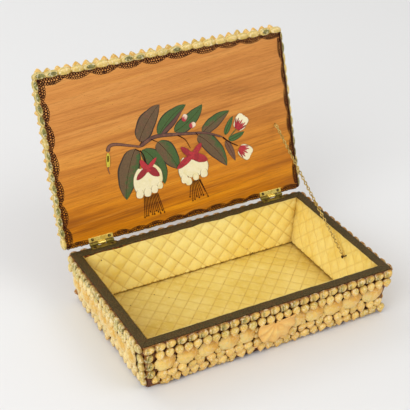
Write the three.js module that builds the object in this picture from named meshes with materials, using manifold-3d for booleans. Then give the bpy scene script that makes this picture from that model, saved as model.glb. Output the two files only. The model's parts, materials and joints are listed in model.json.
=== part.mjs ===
// A shell box: a tapered wooden box with a flat hinged lid, its sides and lid set with
// sea shells, padded inside, with two brass butt hinges and a brass stay chain.
// Millimetres. X runs along the length, Y from front to back, Z up.
// The origin is the centre of the underside. The lid stands open against its chain.

import * as THREE from 'three';
import { mergeVertices } from 'three/addons/utils/BufferGeometryUtils.js';
import Module from 'manifold-3d';

const wasm = await Module();
wasm.setup();

// Driving dimensions
const rimLength = 250;
const rimDepth = 155;
const bodyHeight = 50;
const taper = 7; // each side leans in by this much from the rim to the underside
const wallThickness = 8.5;
const baseThickness = 2.6;
const liningThickness = 2; // at the top of the wall pads, which swell towards the floor
const liningSwell = 3.6;
const floorPad = 2;
const liningDrop = 0.8; // the padding stops this far below the rim
const gap = 0.3; // between pieces that touch

const lidLength = 252;
const lidDepth = 158;
const lidThickness = 6;
const lidLean = 18.3; // degrees past upright when the chain is taut

const axisBehindRim = 1.6;
const axisLift = 1.8; // hinge axis above the rim, and below the shut lid's inner face
const lidSetBack = 1.3; // from the hinge axis to the lid's hinge edge
const hingeLength = 24.5;
const hingeCentreX = 92.3;
const leafReach = 6.2;
const leafThickness = 0.8;
const barrelRadius = 1.5;
const pinRadius = 0.6;
const screwSpacing = 17.2;
const screwReach = 4.2; // from the hinge axis to the screws
const screwHeadRadius = 1.35;
const screwShankRadius = 0.7;

const eyePlace = { x: 106.4, fromHingeEdge: 68.8 };
const nailPlace = { x: 109.2, y: -26.5, z: 37 };
const chainRadius = 0.8;

const bedFace = 1.2; // the shells sit in a bed of glue that ends this far out from the wood

// Rows up the sloping sides, as heights along the slope: where each begins and ends
const rows = {
  oval: [41.0, 49.4],
  pointed: [32.6, 40.7],
  jingle: [19.2, 32.3],
  lower: [0.6, 18.9]
};
const columnWidth = 7.6; // of the shells stacked up a corner
const edgeMargin = 0.6; // from a row's end to the corner
const fan = { halfWidth: 17, height: 20.5, top: 37, rise: 3.6, ribs: 6, spread: 60 };

const slope = taper / bodyHeight;
const tilt = Math.atan(slope);
const faceLength = Math.hypot(bodyHeight, taper);
const axisY = rimDepth / 2 + axisBehindRim;
const axisZ = bodyHeight + axisLift;
const openTurn = THREE.MathUtils.degToRad(90 + lidLean);

// Finishes
function finish(color, roughness, metalness = 0) {
  return new THREE.MeshStandardMaterial({ color, roughness, metalness });
}
const paintedWood = finish(0x4a3826, 0.6);
const lidWood = finish(0xd08a3c, 0.45);
const baseWood = finish(0x5a2f14, 0.7);
const quilting = finish(0xe8c667, 0.6);
const brass = finish(0xd9b650, 0.3, 0.9);
const darkScrew = finish(0x4d3a14, 0.5, 0.8);
const nailSteel = finish(0x3d3222, 0.5, 0.7);
const paleShell = finish(0xe9d79c, 0.4);
const goldShell = finish(0xe2b85a, 0.35);
const roseShell = finish(0xeec78a, 0.4);

// Solids
function positionsOnly(geometry) {
  const bare = geometry.clone();
  bare.deleteAttribute('normal');
  bare.deleteAttribute('uv');
  return mergeVertices(bare, 1e-4);
}

function solid(geometry) {
  const merged = positionsOnly(geometry);
  return new wasm.Manifold(new wasm.Mesh({
    numProp: 3,
    vertProperties: new Float32Array(merged.attributes.position.array),
    triVerts: new Uint32Array(merged.index.array)
  }));
}

function geometryOf(manifold) {
  const mesh = manifold.getMesh();
  const geometry = new THREE.BufferGeometry();
  geometry.setAttribute('position', new THREE.BufferAttribute(mesh.vertProperties.slice(), 3));
  geometry.setIndex(new THREE.BufferAttribute(mesh.triVerts.slice(), 1));
  return geometry;
}

function join(pieces) {
  return geometryOf(pieces.map(solid).reduce((whole, one) => whole.add(one)));
}

function cut(geometry, tools) {
  return geometryOf(tools.map(solid).reduce((whole, one) => whole.subtract(one), solid(geometry)));
}

function block(x0, x1, y0, y1, z0, z1) {
  const geometry = new THREE.BoxGeometry(x1 - x0, y1 - y0, z1 - z0);
  return geometry.translate((x0 + x1) / 2, (y0 + y1) / 2, (z0 + z1) / 2);
}

// A round bar along X
function bar(radius, x0, x1, sides = 8) {
  const geometry = new THREE.CylinderGeometry(radius, radius, x1 - x0, sides);
  return geometry.rotateZ(Math.PI / 2).translate((x0 + x1) / 2, 0, 0);
}

// A round bar along Z
function post(radius, z0, z1, sides = 6, topRadius = radius) {
  const geometry = new THREE.CylinderGeometry(topRadius, radius, z1 - z0, sides);
  return geometry.rotateX(Math.PI / 2).translate(0, 0, (z0 + z1) / 2);
}

// Turns the faces of a mirrored solid outwards again
function flipped(geometry) {
  const index = geometry.index.array;
  for (let i = 0; i < index.length; i += 3) {
    [index[i], index[i + 1]] = [index[i + 1], index[i]];
  }
  return geometry;
}

const parts = new THREE.Group();

function add(name, geometry, material, group = parts) {
  const mesh = new THREE.Mesh(geometry, material);
  mesh.name = name;
  group.add(mesh);
  return mesh;
}

// The body: an outline given at the rim's level, raised, and leaned in with the sides
function tapered(outline, z0, z1) {
  const shape = new THREE.Shape(outline.map(([x, y]) => new THREE.Vector2(x, y)));
  const geometry = new THREE.ExtrudeGeometry(shape, { depth: z1 - z0, bevelEnabled: false });
  geometry.translate(0, 0, z0);
  const place = geometry.attributes.position;
  for (let i = 0; i < place.count; i++) {
    const inward = slope * (bodyHeight - place.getZ(i));
    place.setX(i, place.getX(i) - Math.sign(place.getX(i)) * inward);
    place.setY(i, place.getY(i) - Math.sign(place.getY(i)) * inward);
  }
  return geometry;
}

// One side of a mitred frame whose outer size is length by depth and whose wall is thick
function mitredSide(side, length, depth, thick, z0, z1) {
  const a = gap / 2;
  const [x, y] = [length / 2, depth / 2];
  const outlines = {
    front: [[-x + a, -y], [x - a, -y], [x - thick - a, -y + thick], [-x + thick + a, -y + thick]],
    back: [[-x + thick + a, y - thick], [x - thick - a, y - thick], [x - a, y], [-x + a, y]],
    left: [[-x, -y + a], [-x + thick, -y + thick + a], [-x + thick, y - thick - a], [-x, y - a]],
    right: [[x, -y + a], [x, y - a], [x - thick, y - thick - a], [x - thick, -y + thick + a]]
  };
  return tapered(outlines[side], z0, z1);
}

// Moves the foot of a mitred side's inner face further in
function swollen(geometry, length, depth, thick, swell) {
  const place = geometry.attributes.position;
  geometry.computeBoundingBox();
  const foot = geometry.boundingBox.min.z;
  const inward = slope * (bodyHeight - foot);
  for (let i = 0; i < place.count; i++) {
    const [x, y] = [place.getX(i), place.getY(i)];
    const inner = Math.abs(x) < length / 2 - thick - inward + gap && Math.abs(y) < depth / 2 - thick - inward + gap;
    if (inner && place.getZ(i) < foot + 1) {
      place.setX(i, x - Math.sign(x) * swell);
      place.setY(i, y - Math.sign(y) * swell);
    }
  }
  return geometry;
}

function rectangle(x, y) {
  return [[-x, -y], [x, -y], [x, y], [-x, y]];
}

const innerX = rimLength / 2 - wallThickness;
const innerY = rimDepth / 2 - wallThickness;

function pilotHoles(z0, z1) {
  const holes = [];
  for (const centre of [-hingeCentreX, hingeCentreX]) {
    for (const side of [-1, 1]) {
      holes.push(post(screwShankRadius + 0.2, z0, z1)
        .translate(centre + side * screwSpacing / 2, -screwReach, 0));
    }
  }
  return holes;
}

function nailHole(radius) {
  return bar(radius, nailPlace.x - 5, nailPlace.x + 12).translate(0, nailPlace.y, nailPlace.z);
}

const wall = (side) => mitredSide(side, rimLength, rimDepth, wallThickness, 0, bodyHeight);
const leafHoles = pilotHoles(-8, 0).map((hole) => hole.translate(0, axisY, axisZ));
add('front_wall', wall('front'), paintedWood);
add('back_wall', cut(wall('back'), leafHoles), paintedWood);
add('left_wall', wall('left'), paintedWood);
add('right_wall', cut(wall('right'), [nailHole(0.9)]), paintedWood);
add('base_board', tapered(rectangle(innerX - gap, innerY - gap), 0, baseThickness), baseWood);

// Padded lining: a floor pad and four wall pads that stand on it
const floorTop = baseThickness + gap + floorPad;
const padSize = [2 * (innerX - gap), 2 * (innerY - gap), liningThickness];
const padOf = (side) => swollen(
  mitredSide(side, ...padSize, floorTop + gap, bodyHeight - liningDrop), ...padSize, liningSwell);
add('floor_lining', tapered(rectangle(innerX - gap, innerY - gap), baseThickness + gap, floorTop), quilting);
add('front_lining', padOf('front'), quilting);
add('back_lining', padOf('back'), quilting);
add('left_lining', padOf('left'), quilting);
add('right_lining', cut(padOf('right'), [nailHole(0.9)]), quilting);

// The lid is drawn shut, about the hinge axis, and its group turns it open
const lid = new THREE.Group();
lid.position.set(0, axisY, axisZ);
lid.rotation.x = -openTurn;
parts.add(lid);

const lidBack = -lidSetBack;
const lidFront = lidBack - lidDepth;
const lidTop = axisLift + lidThickness;
const eyeY = lidBack - eyePlace.fromHingeEdge;

const lidBlank = block(-lidLength / 2, lidLength / 2, lidFront, lidBack, axisLift, lidTop);
const eyeHole = post(0.8, axisLift - 1, axisLift + 4).translate(eyePlace.x, eyeY, 0);
add('lid_board', cut(lidBlank, [...pilotHoles(axisLift - 1, axisLift + 5), eyeHole]), lidWood, lid);

// Butt hinges. A leaf is drawn about the axis, lying to the front of it on the rim.
const knuckle = hingeLength / 3;

function screwPlaces() {
  return [-screwSpacing / 2, screwSpacing / 2];
}

function leaf(knuckles) {
  const bottom = 0.1 - axisLift;
  const reachIn = -barrelRadius - 0.25;
  const half = hingeLength / 2;
  const pieces = [block(-half, half, -leafReach, reachIn, bottom, bottom + leafThickness)];
  for (const at of knuckles) {
    const [x0, x1] = [(at - 0.5) * knuckle + 0.15, (at + 0.5) * knuckle - 0.15];
    pieces.push(bar(barrelRadius, x0, x1));
    pieces.push(block(x0, x1, reachIn - 0.4, -0.4, bottom, bottom + leafThickness));
  }
  const bores = [bar(pinRadius + 0.15, -half - 1, half + 1)];
  for (const x of screwPlaces()) {
    bores.push(post(screwShankRadius + 0.2, bottom - 1, bottom + 2).translate(x, -screwReach, 0));
    bores.push(post(screwShankRadius + 0.2, bottom + 0.2, bottom + leafThickness + 0.05, 6,
      screwHeadRadius + 0.2).translate(x, -screwReach, 0));
  }
  return cut(join(pieces), bores);
}

// A countersunk screw in the same place, head up, its point in the wood below the leaf
function leafScrew(x) {
  const bottom = 0.1 - axisLift;
  const top = bottom + leafThickness;
  return join([
    post(screwShankRadius, bottom - 3.4, top - 0.1),
    post(screwShankRadius, bottom + 0.35, top, 6, screwHeadRadius)
  ]).translate(x, -screwReach, 0);
}

for (const [side, x] of [['left', -hingeCentreX], ['right', hingeCentreX]]) {
  const onBox = new THREE.Group();
  onBox.position.set(x, axisY, axisZ);
  parts.add(onBox);
  const half = hingeLength / 2;
  add(`${side}_hinge_box_leaf`, leaf([-1, 1]), brass, onBox);
  add(`${side}_hinge_pin`, bar(pinRadius, -half, half), brass, onBox);

  const onLid = new THREE.Group();
  onLid.position.x = x;
  lid.add(onLid);
  const turned = leaf([0]);
  turned.rotateX(Math.PI).scale(1, -1, 1);
  add(`${side}_hinge_lid_leaf`, flipped(turned), brass, onLid);

  screwPlaces().forEach((place, i) => {
    add(`${side}_hinge_box_screw_${i + 1}`, leafScrew(place), darkScrew, onBox);
    const screw = leafScrew(place);
    screw.rotateX(Math.PI).scale(1, -1, 1);
    add(`${side}_hinge_lid_screw_${i + 1}`, flipped(screw), darkScrew, onLid);
  });
}

// Stay chain: an eye in the lid, a nail in the right wall, and the taut chain between
const eyeRing = new THREE.TorusGeometry(1.9, 0.45, 4, 9).rotateY(Math.PI / 2).translate(0, 0, -2.6);
const eye = join([post(0.6, -1.1, 3.4), eyeRing]).translate(eyePlace.x, eyeY, axisLift);
add('chain_eye', eye, brass, lid);

const nail = join([
  bar(0.6, nailPlace.x - 1.8, nailPlace.x + 10),
  bar(1.5, nailPlace.x - 2.4, nailPlace.x - 1.7)
]).translate(0, nailPlace.y, nailPlace.z);
add('chain_nail', nail, nailSteel);

lid.updateMatrixWorld(true);
const eyeRingCentre = new THREE.Vector3(eyePlace.x, eyeY, axisLift - 2.6).applyMatrix4(lid.matrixWorld);
const nailPoint = new THREE.Vector3(nailPlace.x, nailPlace.y, nailPlace.z);
const along = nailPoint.clone().sub(eyeRingCentre).normalize();
const chainLine = new THREE.LineCurve3(
  eyeRingCentre.clone().addScaledVector(along, 2.9),
  nailPoint.clone().addScaledVector(along, -1.1)
);
const chainSection = new THREE.Shape().absarc(0, 0, chainRadius, 0, 2 * Math.PI);
add('stay_chain', new THREE.ExtrudeGeometry(chainSection, {
  extrudePath: chainLine, steps: 1, curveSegments: 4, bevelEnabled: false
}), brass);

// Shells. Each is drawn on the wood's face, with X along the row, Y up and Z outwards.
function seeded(seed) {
  let state = seed;
  return (low, high) => {
    state = (state * 16807) % 2147483647;
    return low + (high - low) * state / 2147483647;
  };
}

// A solid of revolution about Z whose profile starts and ends on the axis
function turnedShell(profile, sides) {
  const points = profile.map(([r, z]) => new THREE.Vector2(r, z));
  return new THREE.LatheGeometry(points, sides).rotateX(Math.PI / 2);
}

const sunk = bedFace - 0.4; // shells are drawn from a little way inside their bed

// A rounded oval shell lying on its mouth
function ovalShell({ x, y, width, height, rise }) {
  const profile = [[0, sunk], [0.5, sunk], [0.38, 0.6 * rise + bedFace], [0, rise + bedFace]];
  return turnedShell(profile, 6).scale(width, height, 1).translate(x, y, 0);
}

// A small shell that narrows to a point below
function pointedShell({ x, y, width, height, rise }) {
  const cone = turnedShell([[0, sunk], [0.5, sunk], [0, rise + bedFace]], 5).scale(width, height, 1);
  const place = cone.attributes.position;
  for (let i = 0; i < place.count; i++) {
    if (place.getY(i) < -height * 0.2) place.setX(i, place.getX(i) * 0.45);
  }
  return cone.translate(x, y, 0);
}

// A large thin shell, hollow side out
function dishShell({ x, y, width, height, rise, lean }) {
  const rim = rise + bedFace;
  const profile = [[0, sunk], [0.22, sunk], [0.5, rim], [0.43, rim + 0.3], [0, bedFace + 0.9]];
  return turnedShell(profile, 6).scale(width, height, 1).rotateZ(lean).translate(x, y, 0);
}

// A fan shell: a slab whose width becomes an angle and whose height a distance from the
// beak, domed across and raised into ribs. The beak is at the origin, the fan below it.
function fanShell({ halfWidth, height, rise, ribs, spread }, back) {
  const slab = new THREE.BoxGeometry(1, 1, 1, ribs * 2, 3, 1);
  const place = slab.attributes.position;
  const widest = THREE.MathUtils.degToRad(spread);
  for (let i = 0; i < place.count; i++) {
    const across = place.getX(i) * 2;
    const reach = 0.12 + 0.88 * (0.5 - place.getY(i));
    const rib = Math.round((place.getX(i) + 0.5) * ribs * 2) % 2;
    const angle = across * widest;
    const far = height * reach * (1 - 0.16 * across * across) * (1 + 0.03 * rib);
    const dome = rise * Math.sin(Math.PI * (0.25 + 0.6 * reach)) * (1 - 0.55 * across * across);
    place.setX(i, far * Math.sin(angle) * halfWidth / (height * 0.84 * Math.sin(widest)));
    place.setY(i, -far * Math.cos(angle));
    place.setZ(i, place.getZ(i) > 0 ? back + 1 + dome + 0.7 * rib * reach : back);
  }
  return slab;
}

// Half the width of the sloping face at a height along it
function halfAt(length, height) {
  return length / 2 - taper * (1 - height / faceLength);
}

// The glue bed behind part of a row
function bed(x0, x1, [y0, y1]) {
  return block(x0, x1, y0, y1, gap, bedFace);
}

// As many shells as count, side by side from first to last
function row(first, last, count, make) {
  const pitch = (last - first) / count;
  return Array.from({ length: count }, (_, i) => make(first + (i + 0.5) * pitch, pitch));
}

const middle = ([low, high]) => (low + high) / 2;
const extent = ([low, high]) => high - low;

// The shells of one side: ovals under the rim, pointed shells below them, large jingle
// shells, and mixed small shells down to the foot
function sideShells(name, length, plan) {
  const side = new THREE.Group();
  const random = seeded(plan.seed);
  const reachAt = (height) => halfAt(length, height) - edgeMargin;

  const ovalEnd = reachAt(rows.oval[0]);
  const ovals = row(-ovalEnd, ovalEnd, plan.ovals, (x, pitch) => ovalShell({
    x, y: middle(rows.oval), width: 0.98 * pitch, height: extent(rows.oval) * random(0.93, 1),
    rise: random(3.2, 3.8)
  }));
  add(`${name}_oval_shells`, join([bed(-ovalEnd, ovalEnd, rows.oval), ...ovals]), paleShell, side);

  // where a stack of ovals runs up one corner, the other rows end beside it
  const ends = (low) => {
    const reach = reachAt(low);
    const beside = reach - columnWidth - gap;
    return [plan.column === 'left' ? -beside : -reach, plan.column === 'right' ? beside : reach];
  };
  if (plan.column) {
    add(`${name}_corner_shells`, cornerStack(length, plan.column, random), paleShell, side);
  }

  const [pointedStart, pointedEnd] = ends(rows.pointed[0]);
  const pointed = row(pointedStart, pointedEnd, plan.pointed, (x, pitch) => pointedShell({
    x, y: middle(rows.pointed), width: 0.98 * pitch, height: extent(rows.pointed), rise: random(2.2, 3)
  }));
  const pointedRow = join([bed(pointedStart, pointedEnd, rows.pointed), ...pointed]);
  add(`${name}_pointed_shells`, plan.fanRoom ? cut(pointedRow, [plan.fanRoom]) : pointedRow, goldShell, side);

  const [jingleStart, jingleEnd] = ends(rows.jingle[0]);
  for (const [label, x0, x1, count] of plan.jingles(jingleStart, jingleEnd)) {
    const dishes = row(x0, x1, count, (x, pitch) => dishShell({
      x, y: middle(rows.jingle), width: 0.98 * pitch, height: extent(rows.jingle) - 0.4,
      rise: random(3.6, 4.4), lean: random(-0.05, 0.05)
    }));
    add(`${name}_jingle_shells${label}`, join([bed(x0, x1, rows.jingle), ...dishes]), goldShell, side);
  }

  const [lowerStart, lowerEnd] = ends(rows.lower[0]);
  const lower = plan.lower.flatMap(([y, height, count]) => row(lowerStart, lowerEnd, count,
    (x, pitch) => pointedShell({
      x, y: y + random(-0.3, 0.3), width: 0.98 * pitch, height: height * random(0.88, 1), rise: random(2.6, 3.8)
    })));
  const lowerRow = join([bed(lowerStart, lowerEnd, rows.lower), ...lower]);
  add(`${name}_lower_shells`, plan.fanRoom ? cut(lowerRow, [plan.fanRoom]) : lowerRow, roseShell, side);
  return side;
}

// Four ovals stacked up a corner, on a strip of bed that follows the slanting corner
function cornerStack(length, column, random) {
  const [low, high] = [rows.lower[0], rows.pointed[1]];
  const each = (high - low) / 4;
  const outer = (height) => halfAt(length, height) - edgeMargin;
  const strip = new THREE.Shape([
    [outer(low) - columnWidth, low], [outer(low), low], [outer(high), high], [outer(high) - columnWidth, high]
  ].map(([x, y]) => new THREE.Vector2(x, y)));
  const backing = new THREE.ExtrudeGeometry(strip, { depth: bedFace - gap, bevelEnabled: false });
  const pieces = [backing.translate(0, 0, gap)];
  for (let i = 0; i < 4; i++) {
    const y = low + (i + 0.5) * each;
    pieces.push(ovalShell({
      x: outer(y) - columnWidth / 2, y, width: columnWidth - 0.6, height: 0.98 * each, rise: random(3, 3.6)
    }));
  }
  const stack = join(pieces);
  return column === 'left' ? flipped(stack.scale(-1, 1, 1)) : stack;
}

// Stands a side's shells on the sloping face, a number of quarter turns from the front
function placeSide(side, quarterTurns, distance) {
  const leaned = new THREE.Group();
  leaned.position.y = taper - distance;
  leaned.rotation.x = Math.PI / 2 + tilt;
  leaned.add(side);
  const turned = new THREE.Group();
  turned.rotation.z = quarterTurns * Math.PI / 2;
  turned.add(leaned);
  parts.add(turned);
}

const oneRow = (count) => (start, end) => [['', start, end, count]];
const fanHalf = fan.halfWidth + gap;
const besideFan = (start, end) => [['_left', start, -fanHalf, 5], ['_right', fanHalf, end, 5]];
const fanRoom = block(-fanHalf, fanHalf, fan.top - fan.height - 1, fan.top + gap, bedFace + 0.1, 12);

const front = sideShells('front', rimLength, {
  seed: 11, column: 'left', ovals: 25, pointed: 26, jingles: besideFan, fanRoom,
  lower: [[10.8, 12.6, 24], [2.9, 4.2, 16]]
});
add('front_scallop', fanShell(fan, bedFace + gap).translate(0, fan.top, 0), roseShell, front);
placeSide(front, 0, rimDepth / 2);

const left = sideShells('left', rimDepth, {
  seed: 23, column: 'right', ovals: 15, pointed: 14, jingles: oneRow(6),
  lower: [[14.2, 8.4, 9], [5.2, 8.4, 10]]
});
placeSide(left, -1, rimLength / 2);

const right = sideShells('right', rimDepth, {
  seed: 37, ovals: 13, pointed: 11, jingles: oneRow(5), lower: [[14.2, 8.4, 8], [5.2, 8.4, 8]]
});
placeSide(right, 1, rimLength / 2);

const back = sideShells('back', rimLength, {
  seed: 41, ovals: 19, pointed: 17, jingles: oneRow(8), lower: [[14.2, 8.4, 12], [5.2, 8.4, 12]]
});
placeSide(back, 2, rimDepth / 2);

// A row of small shells along an edge of the lid, which is drawn about the edge's middle
function edgeShells(length, count, rise, height, random) {
  const shells = row(-length / 2, length / 2, count, (x, pitch) => {
    const cone = turnedShell([[0, 0.5], [0.5, 0.5], [0, rise * random(0.85, 1)]], 5);
    return cone.scale(0.98 * pitch, height, 1).translate(x, 0, 0);
  });
  return join([block(-length / 2, length / 2, -height / 2, height / 2, gap, 0.9), ...shells]);
}

function placeOnEdge(name, geometry, quarterTurns, distance, height) {
  const leaned = new THREE.Group();
  leaned.position.y = -distance;
  leaned.rotation.x = Math.PI / 2;
  const turned = new THREE.Group();
  turned.position.set(0, (lidFront + lidBack) / 2, height);
  turned.rotation.z = quarterTurns * Math.PI / 2;
  turned.add(leaned);
  lid.add(turned);
  add(name, geometry, paleShell, leaned);
}

const lidMiddleHeight = (axisLift + lidTop) / 2;
const edgeHeight = lidThickness - 0.4;
const lidRandom = seeded(61);
placeOnEdge('lid_front_edge_shells',
  edgeShells(lidLength - 1, 21, 4.8, edgeHeight, lidRandom), 0, lidDepth / 2, lidMiddleHeight);
placeOnEdge('lid_left_edge_shells',
  edgeShells(lidDepth - 1, 15, 4.2, edgeHeight, lidRandom), -1, lidLength / 2, lidMiddleHeight);
placeOnEdge('lid_right_edge_shells',
  edgeShells(lidDepth - 1, 15, 3.4, edgeHeight, lidRandom), 1, lidLength / 2, lidMiddleHeight);
// the hinge edge takes lower ones, set back from the inner face
placeOnEdge('lid_back_edge_shells',
  edgeShells(lidLength - 2, 20, 1.9, 4, lidRandom), 2, lidDepth / 2, lidTop - 2.4);

// Shells on the lid's outer face: a border of pointed shells, and a fan ringed by jingle shells
const onTop = new THREE.Group();
onTop.position.set(0, (lidFront + lidBack) / 2, lidTop);
lid.add(onTop);

const borderBand = 9.4;
const overhang = 3; // the border's points stand out past the lid's edge, but not past its hinge edge
const borderInset = 0.8;

// One side of the border, its points outwards
function borderSide(length, count, random) {
  const shells = row(-length / 2, length / 2, count, (x, pitch) => pointedShell({
    x, y: 0, width: 0.98 * pitch, height: borderBand, rise: random(3.6, 4.6)
  }));
  return join([bed(-length / 2, length / 2, [-borderBand / 2, borderBand / 2]), ...shells]);
}

// the front strip runs from corner to corner, the side strips between it and the back strip
const borderRandom = seeded(97);
const frontStart = -lidDepth / 2 - overhang;
const backEnd = lidDepth / 2 - borderInset;
const sideStart = frontStart + borderBand + gap;
const sideEnd = backEnd - borderBand - gap;
const sideOut = lidLength / 2 + overhang - borderBand / 2;
for (const [side, length, count, turns, x, y] of [
  ['front', lidLength + 2 * overhang, 20, 0, 0, frontStart + borderBand / 2],
  ['right', sideEnd - sideStart, 11, 1, sideOut, (sideStart + sideEnd) / 2],
  ['back', lidLength - 2 * borderInset, 20, 2, 0, backEnd - borderBand / 2],
  ['left', sideEnd - sideStart, 11, 3, -sideOut, (sideStart + sideEnd) / 2]
]) {
  const strip = borderSide(length, count, borderRandom).rotateZ(turns * Math.PI / 2).translate(x, y, 0);
  add(`lid_${side}_border_shells`, strip, goldShell, onTop);
}

function lidRosette() {
  const petals = 7;
  const ringRadius = 34;
  const pieces = [turnedShell([[0, gap], [44, gap], [44, bedFace], [0, bedFace]], 12)];
  for (let i = 0; i < petals; i++) {
    const petal = dishShell({ x: 0, y: ringRadius, width: 26, height: 19, rise: 3.4, lean: 0 });
    pieces.push(petal.rotateZ(2 * Math.PI * i / petals));
  }
  const middleFan = { halfWidth: 20, height: 34, rise: 3.4, ribs: 5, spread: 52 };
  pieces.push(fanShell(middleFan, sunk).translate(0, 17, 0));
  return join(pieces);
}
add('lid_rosette_shells', lidRosette(), roseShell, onTop);

export default parts;
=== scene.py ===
import bpy
import bmesh
import json
import math
import random
from mathutils import Matrix, Quaternion, Vector, noise
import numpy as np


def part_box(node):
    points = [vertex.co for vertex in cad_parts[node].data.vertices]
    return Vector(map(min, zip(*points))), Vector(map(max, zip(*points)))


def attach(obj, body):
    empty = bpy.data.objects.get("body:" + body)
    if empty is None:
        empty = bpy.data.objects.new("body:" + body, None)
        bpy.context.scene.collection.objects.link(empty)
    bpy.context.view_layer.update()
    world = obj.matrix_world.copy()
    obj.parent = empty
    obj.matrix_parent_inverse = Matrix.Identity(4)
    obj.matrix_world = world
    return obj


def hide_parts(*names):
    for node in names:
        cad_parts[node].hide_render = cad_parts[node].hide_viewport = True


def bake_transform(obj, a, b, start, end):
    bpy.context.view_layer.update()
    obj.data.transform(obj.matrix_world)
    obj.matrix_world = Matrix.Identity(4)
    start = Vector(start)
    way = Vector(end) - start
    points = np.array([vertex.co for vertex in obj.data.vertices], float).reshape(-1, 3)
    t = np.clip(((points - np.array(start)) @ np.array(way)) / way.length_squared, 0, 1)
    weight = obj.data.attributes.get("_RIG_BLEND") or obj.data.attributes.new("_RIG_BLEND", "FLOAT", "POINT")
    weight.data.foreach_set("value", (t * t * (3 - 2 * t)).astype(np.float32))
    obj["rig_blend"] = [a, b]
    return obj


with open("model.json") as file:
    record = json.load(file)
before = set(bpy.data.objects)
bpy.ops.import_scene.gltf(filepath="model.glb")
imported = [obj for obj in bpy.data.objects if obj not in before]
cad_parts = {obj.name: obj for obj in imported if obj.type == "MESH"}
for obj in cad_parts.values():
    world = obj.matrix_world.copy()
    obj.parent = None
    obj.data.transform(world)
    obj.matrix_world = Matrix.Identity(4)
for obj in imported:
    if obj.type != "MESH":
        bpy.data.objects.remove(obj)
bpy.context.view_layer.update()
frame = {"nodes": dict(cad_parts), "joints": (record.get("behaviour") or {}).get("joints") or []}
mm = 0.001
print("frame loaded, nodes:", len(frame["nodes"]))

# camera first, a long lens from the front left and above
cameraView = {"place": (-0.41195, -0.70608, 0.60163), "azimuth": 28.63, "elevation": 31.09, "roll": 0.81,
              "lens": 94.6}
lens = bpy.data.cameras.new("camera")
lens.lens = cameraView["lens"]
lens.sensor_width = 36
lens.clip_start, lens.clip_end = 0.05, 20
camera = bpy.data.objects.new("camera", lens)
bpy.context.collection.objects.link(camera)
turn, rise = math.radians(cameraView["azimuth"]), math.radians(cameraView["elevation"])
aim = Vector((math.sin(turn) * math.cos(rise), math.cos(turn) * math.cos(rise), -math.sin(rise)))
camera.location = cameraView["place"]
camera.rotation_mode = "QUATERNION"
spin = Quaternion((0, 0, 1), math.radians(cameraView["roll"]))
camera.rotation_quaternion = aim.to_track_quat("-Z", "Y") @ spin
bpy.context.scene.camera = camera

# sizes of the box in millimetres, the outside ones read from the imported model
hinge = frame["joints"][0]
box = {
    "halfLength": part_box("right_wall")[1].x / mm,
    "halfDepth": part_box("back_wall")[1].y / mm,
    "height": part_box("front_wall")[1].z / mm,
    "taper": 7.0,
    "wall": 8.5,
    "padTop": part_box("floor_lining")[1].z / mm,
    "padStart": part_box("floor_lining")[0].z / mm,
}
box["tilt"] = math.atan(box["taper"] / box["height"])
box["slope"] = box["taper"] / box["height"]
box["face"] = math.hypot(box["taper"], box["height"])
lid = {"length": 252.0, "depth": 158.0, "thick": 6.0, "lean": 18.3, "setBack": 1.3, "lift": 1.8}
axisPlace = Vector(hinge["pos_m"])

seeds = random.Random(7)


def turnAbout(axis, degrees):
    return Matrix.Rotation(math.radians(degrees), 4, axis)


def move(x, y, z):
    return Matrix.Translation((x, y, z))


def sideFrame(quarterTurns, distance):  # x along the side, y up its slope, z outwards
    leaned = move(0, box["taper"] - distance, 0) @ turnAbout("X", 90 + math.degrees(box["tilt"]))
    return turnAbout("Z", 90 * quarterTurns) @ Matrix.Scale(mm, 4) @ leaned


def lidFrame():  # the lid as it lies shut, about the hinge axis
    return Matrix.Translation(axisPlace) @ turnAbout("X", -(90 + lid["lean"])) @ Matrix.Scale(mm, 4)


def lidInside():  # x along the lid, y up from its hinge edge, z out of its painted face
    return lidFrame() @ move(0, -lid["setBack"], lid["lift"]) @ turnAbout("X", 180)


def lidEdge(quarterTurns, distance, height):  # x along the edge, y towards the shell side, z outwards
    middle = lidFrame() @ move(0, -lid["setBack"] - lid["depth"] / 2, height)
    return middle @ turnAbout("Z", 90 * quarterTurns) @ move(0, -distance, 0) @ turnAbout("X", 90)


# shading: a socket that can be used in sums, and the graph that it belongs to
class Link:
    def __init__(self, graph, socket):
        self.graph, self.socket = graph, socket

    def sum(self, operation, *terms):
        sockets = {i: term for i, term in enumerate(terms)}
        return self.graph.add("ShaderNodeMath", {"operation": operation}, sockets)

    def __add__(self, other):
        return self.sum("ADD", self, other)

    def __radd__(self, other):
        return self.sum("ADD", other, self)

    def __sub__(self, other):
        return self.sum("SUBTRACT", self, other)

    def __rsub__(self, other):
        return self.sum("SUBTRACT", other, self)

    def __mul__(self, other):
        return self.sum("MULTIPLY", self, other)

    def __rmul__(self, other):
        return self.sum("MULTIPLY", other, self)

    def __truediv__(self, other):
        return self.sum("DIVIDE", self, other)

    def abs(self):
        return self.sum("ABSOLUTE", self)

    def above(self, edge, soft):  # 0 below the edge, 1 above it, over a soft width
        span = {"From Min": edge - soft / 2, "From Max": edge + soft / 2, "Value": self}
        return self.graph.add("ShaderNodeMapRange", {"interpolation_type": "SMOOTHSTEP"}, span)

    def below(self, edge, soft):
        return 1 - self.above(edge, soft)


def rgb(code):  # a screen colour such as c7843c, as the shader's linear one
    parts = [int(code[i:i + 2], 16) / 255 for i in (0, 2, 4)]
    return tuple(p / 12.92 if p <= 0.04045 else ((p + 0.055) / 1.055) ** 2.4 for p in parts) + (1.0,)


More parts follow.
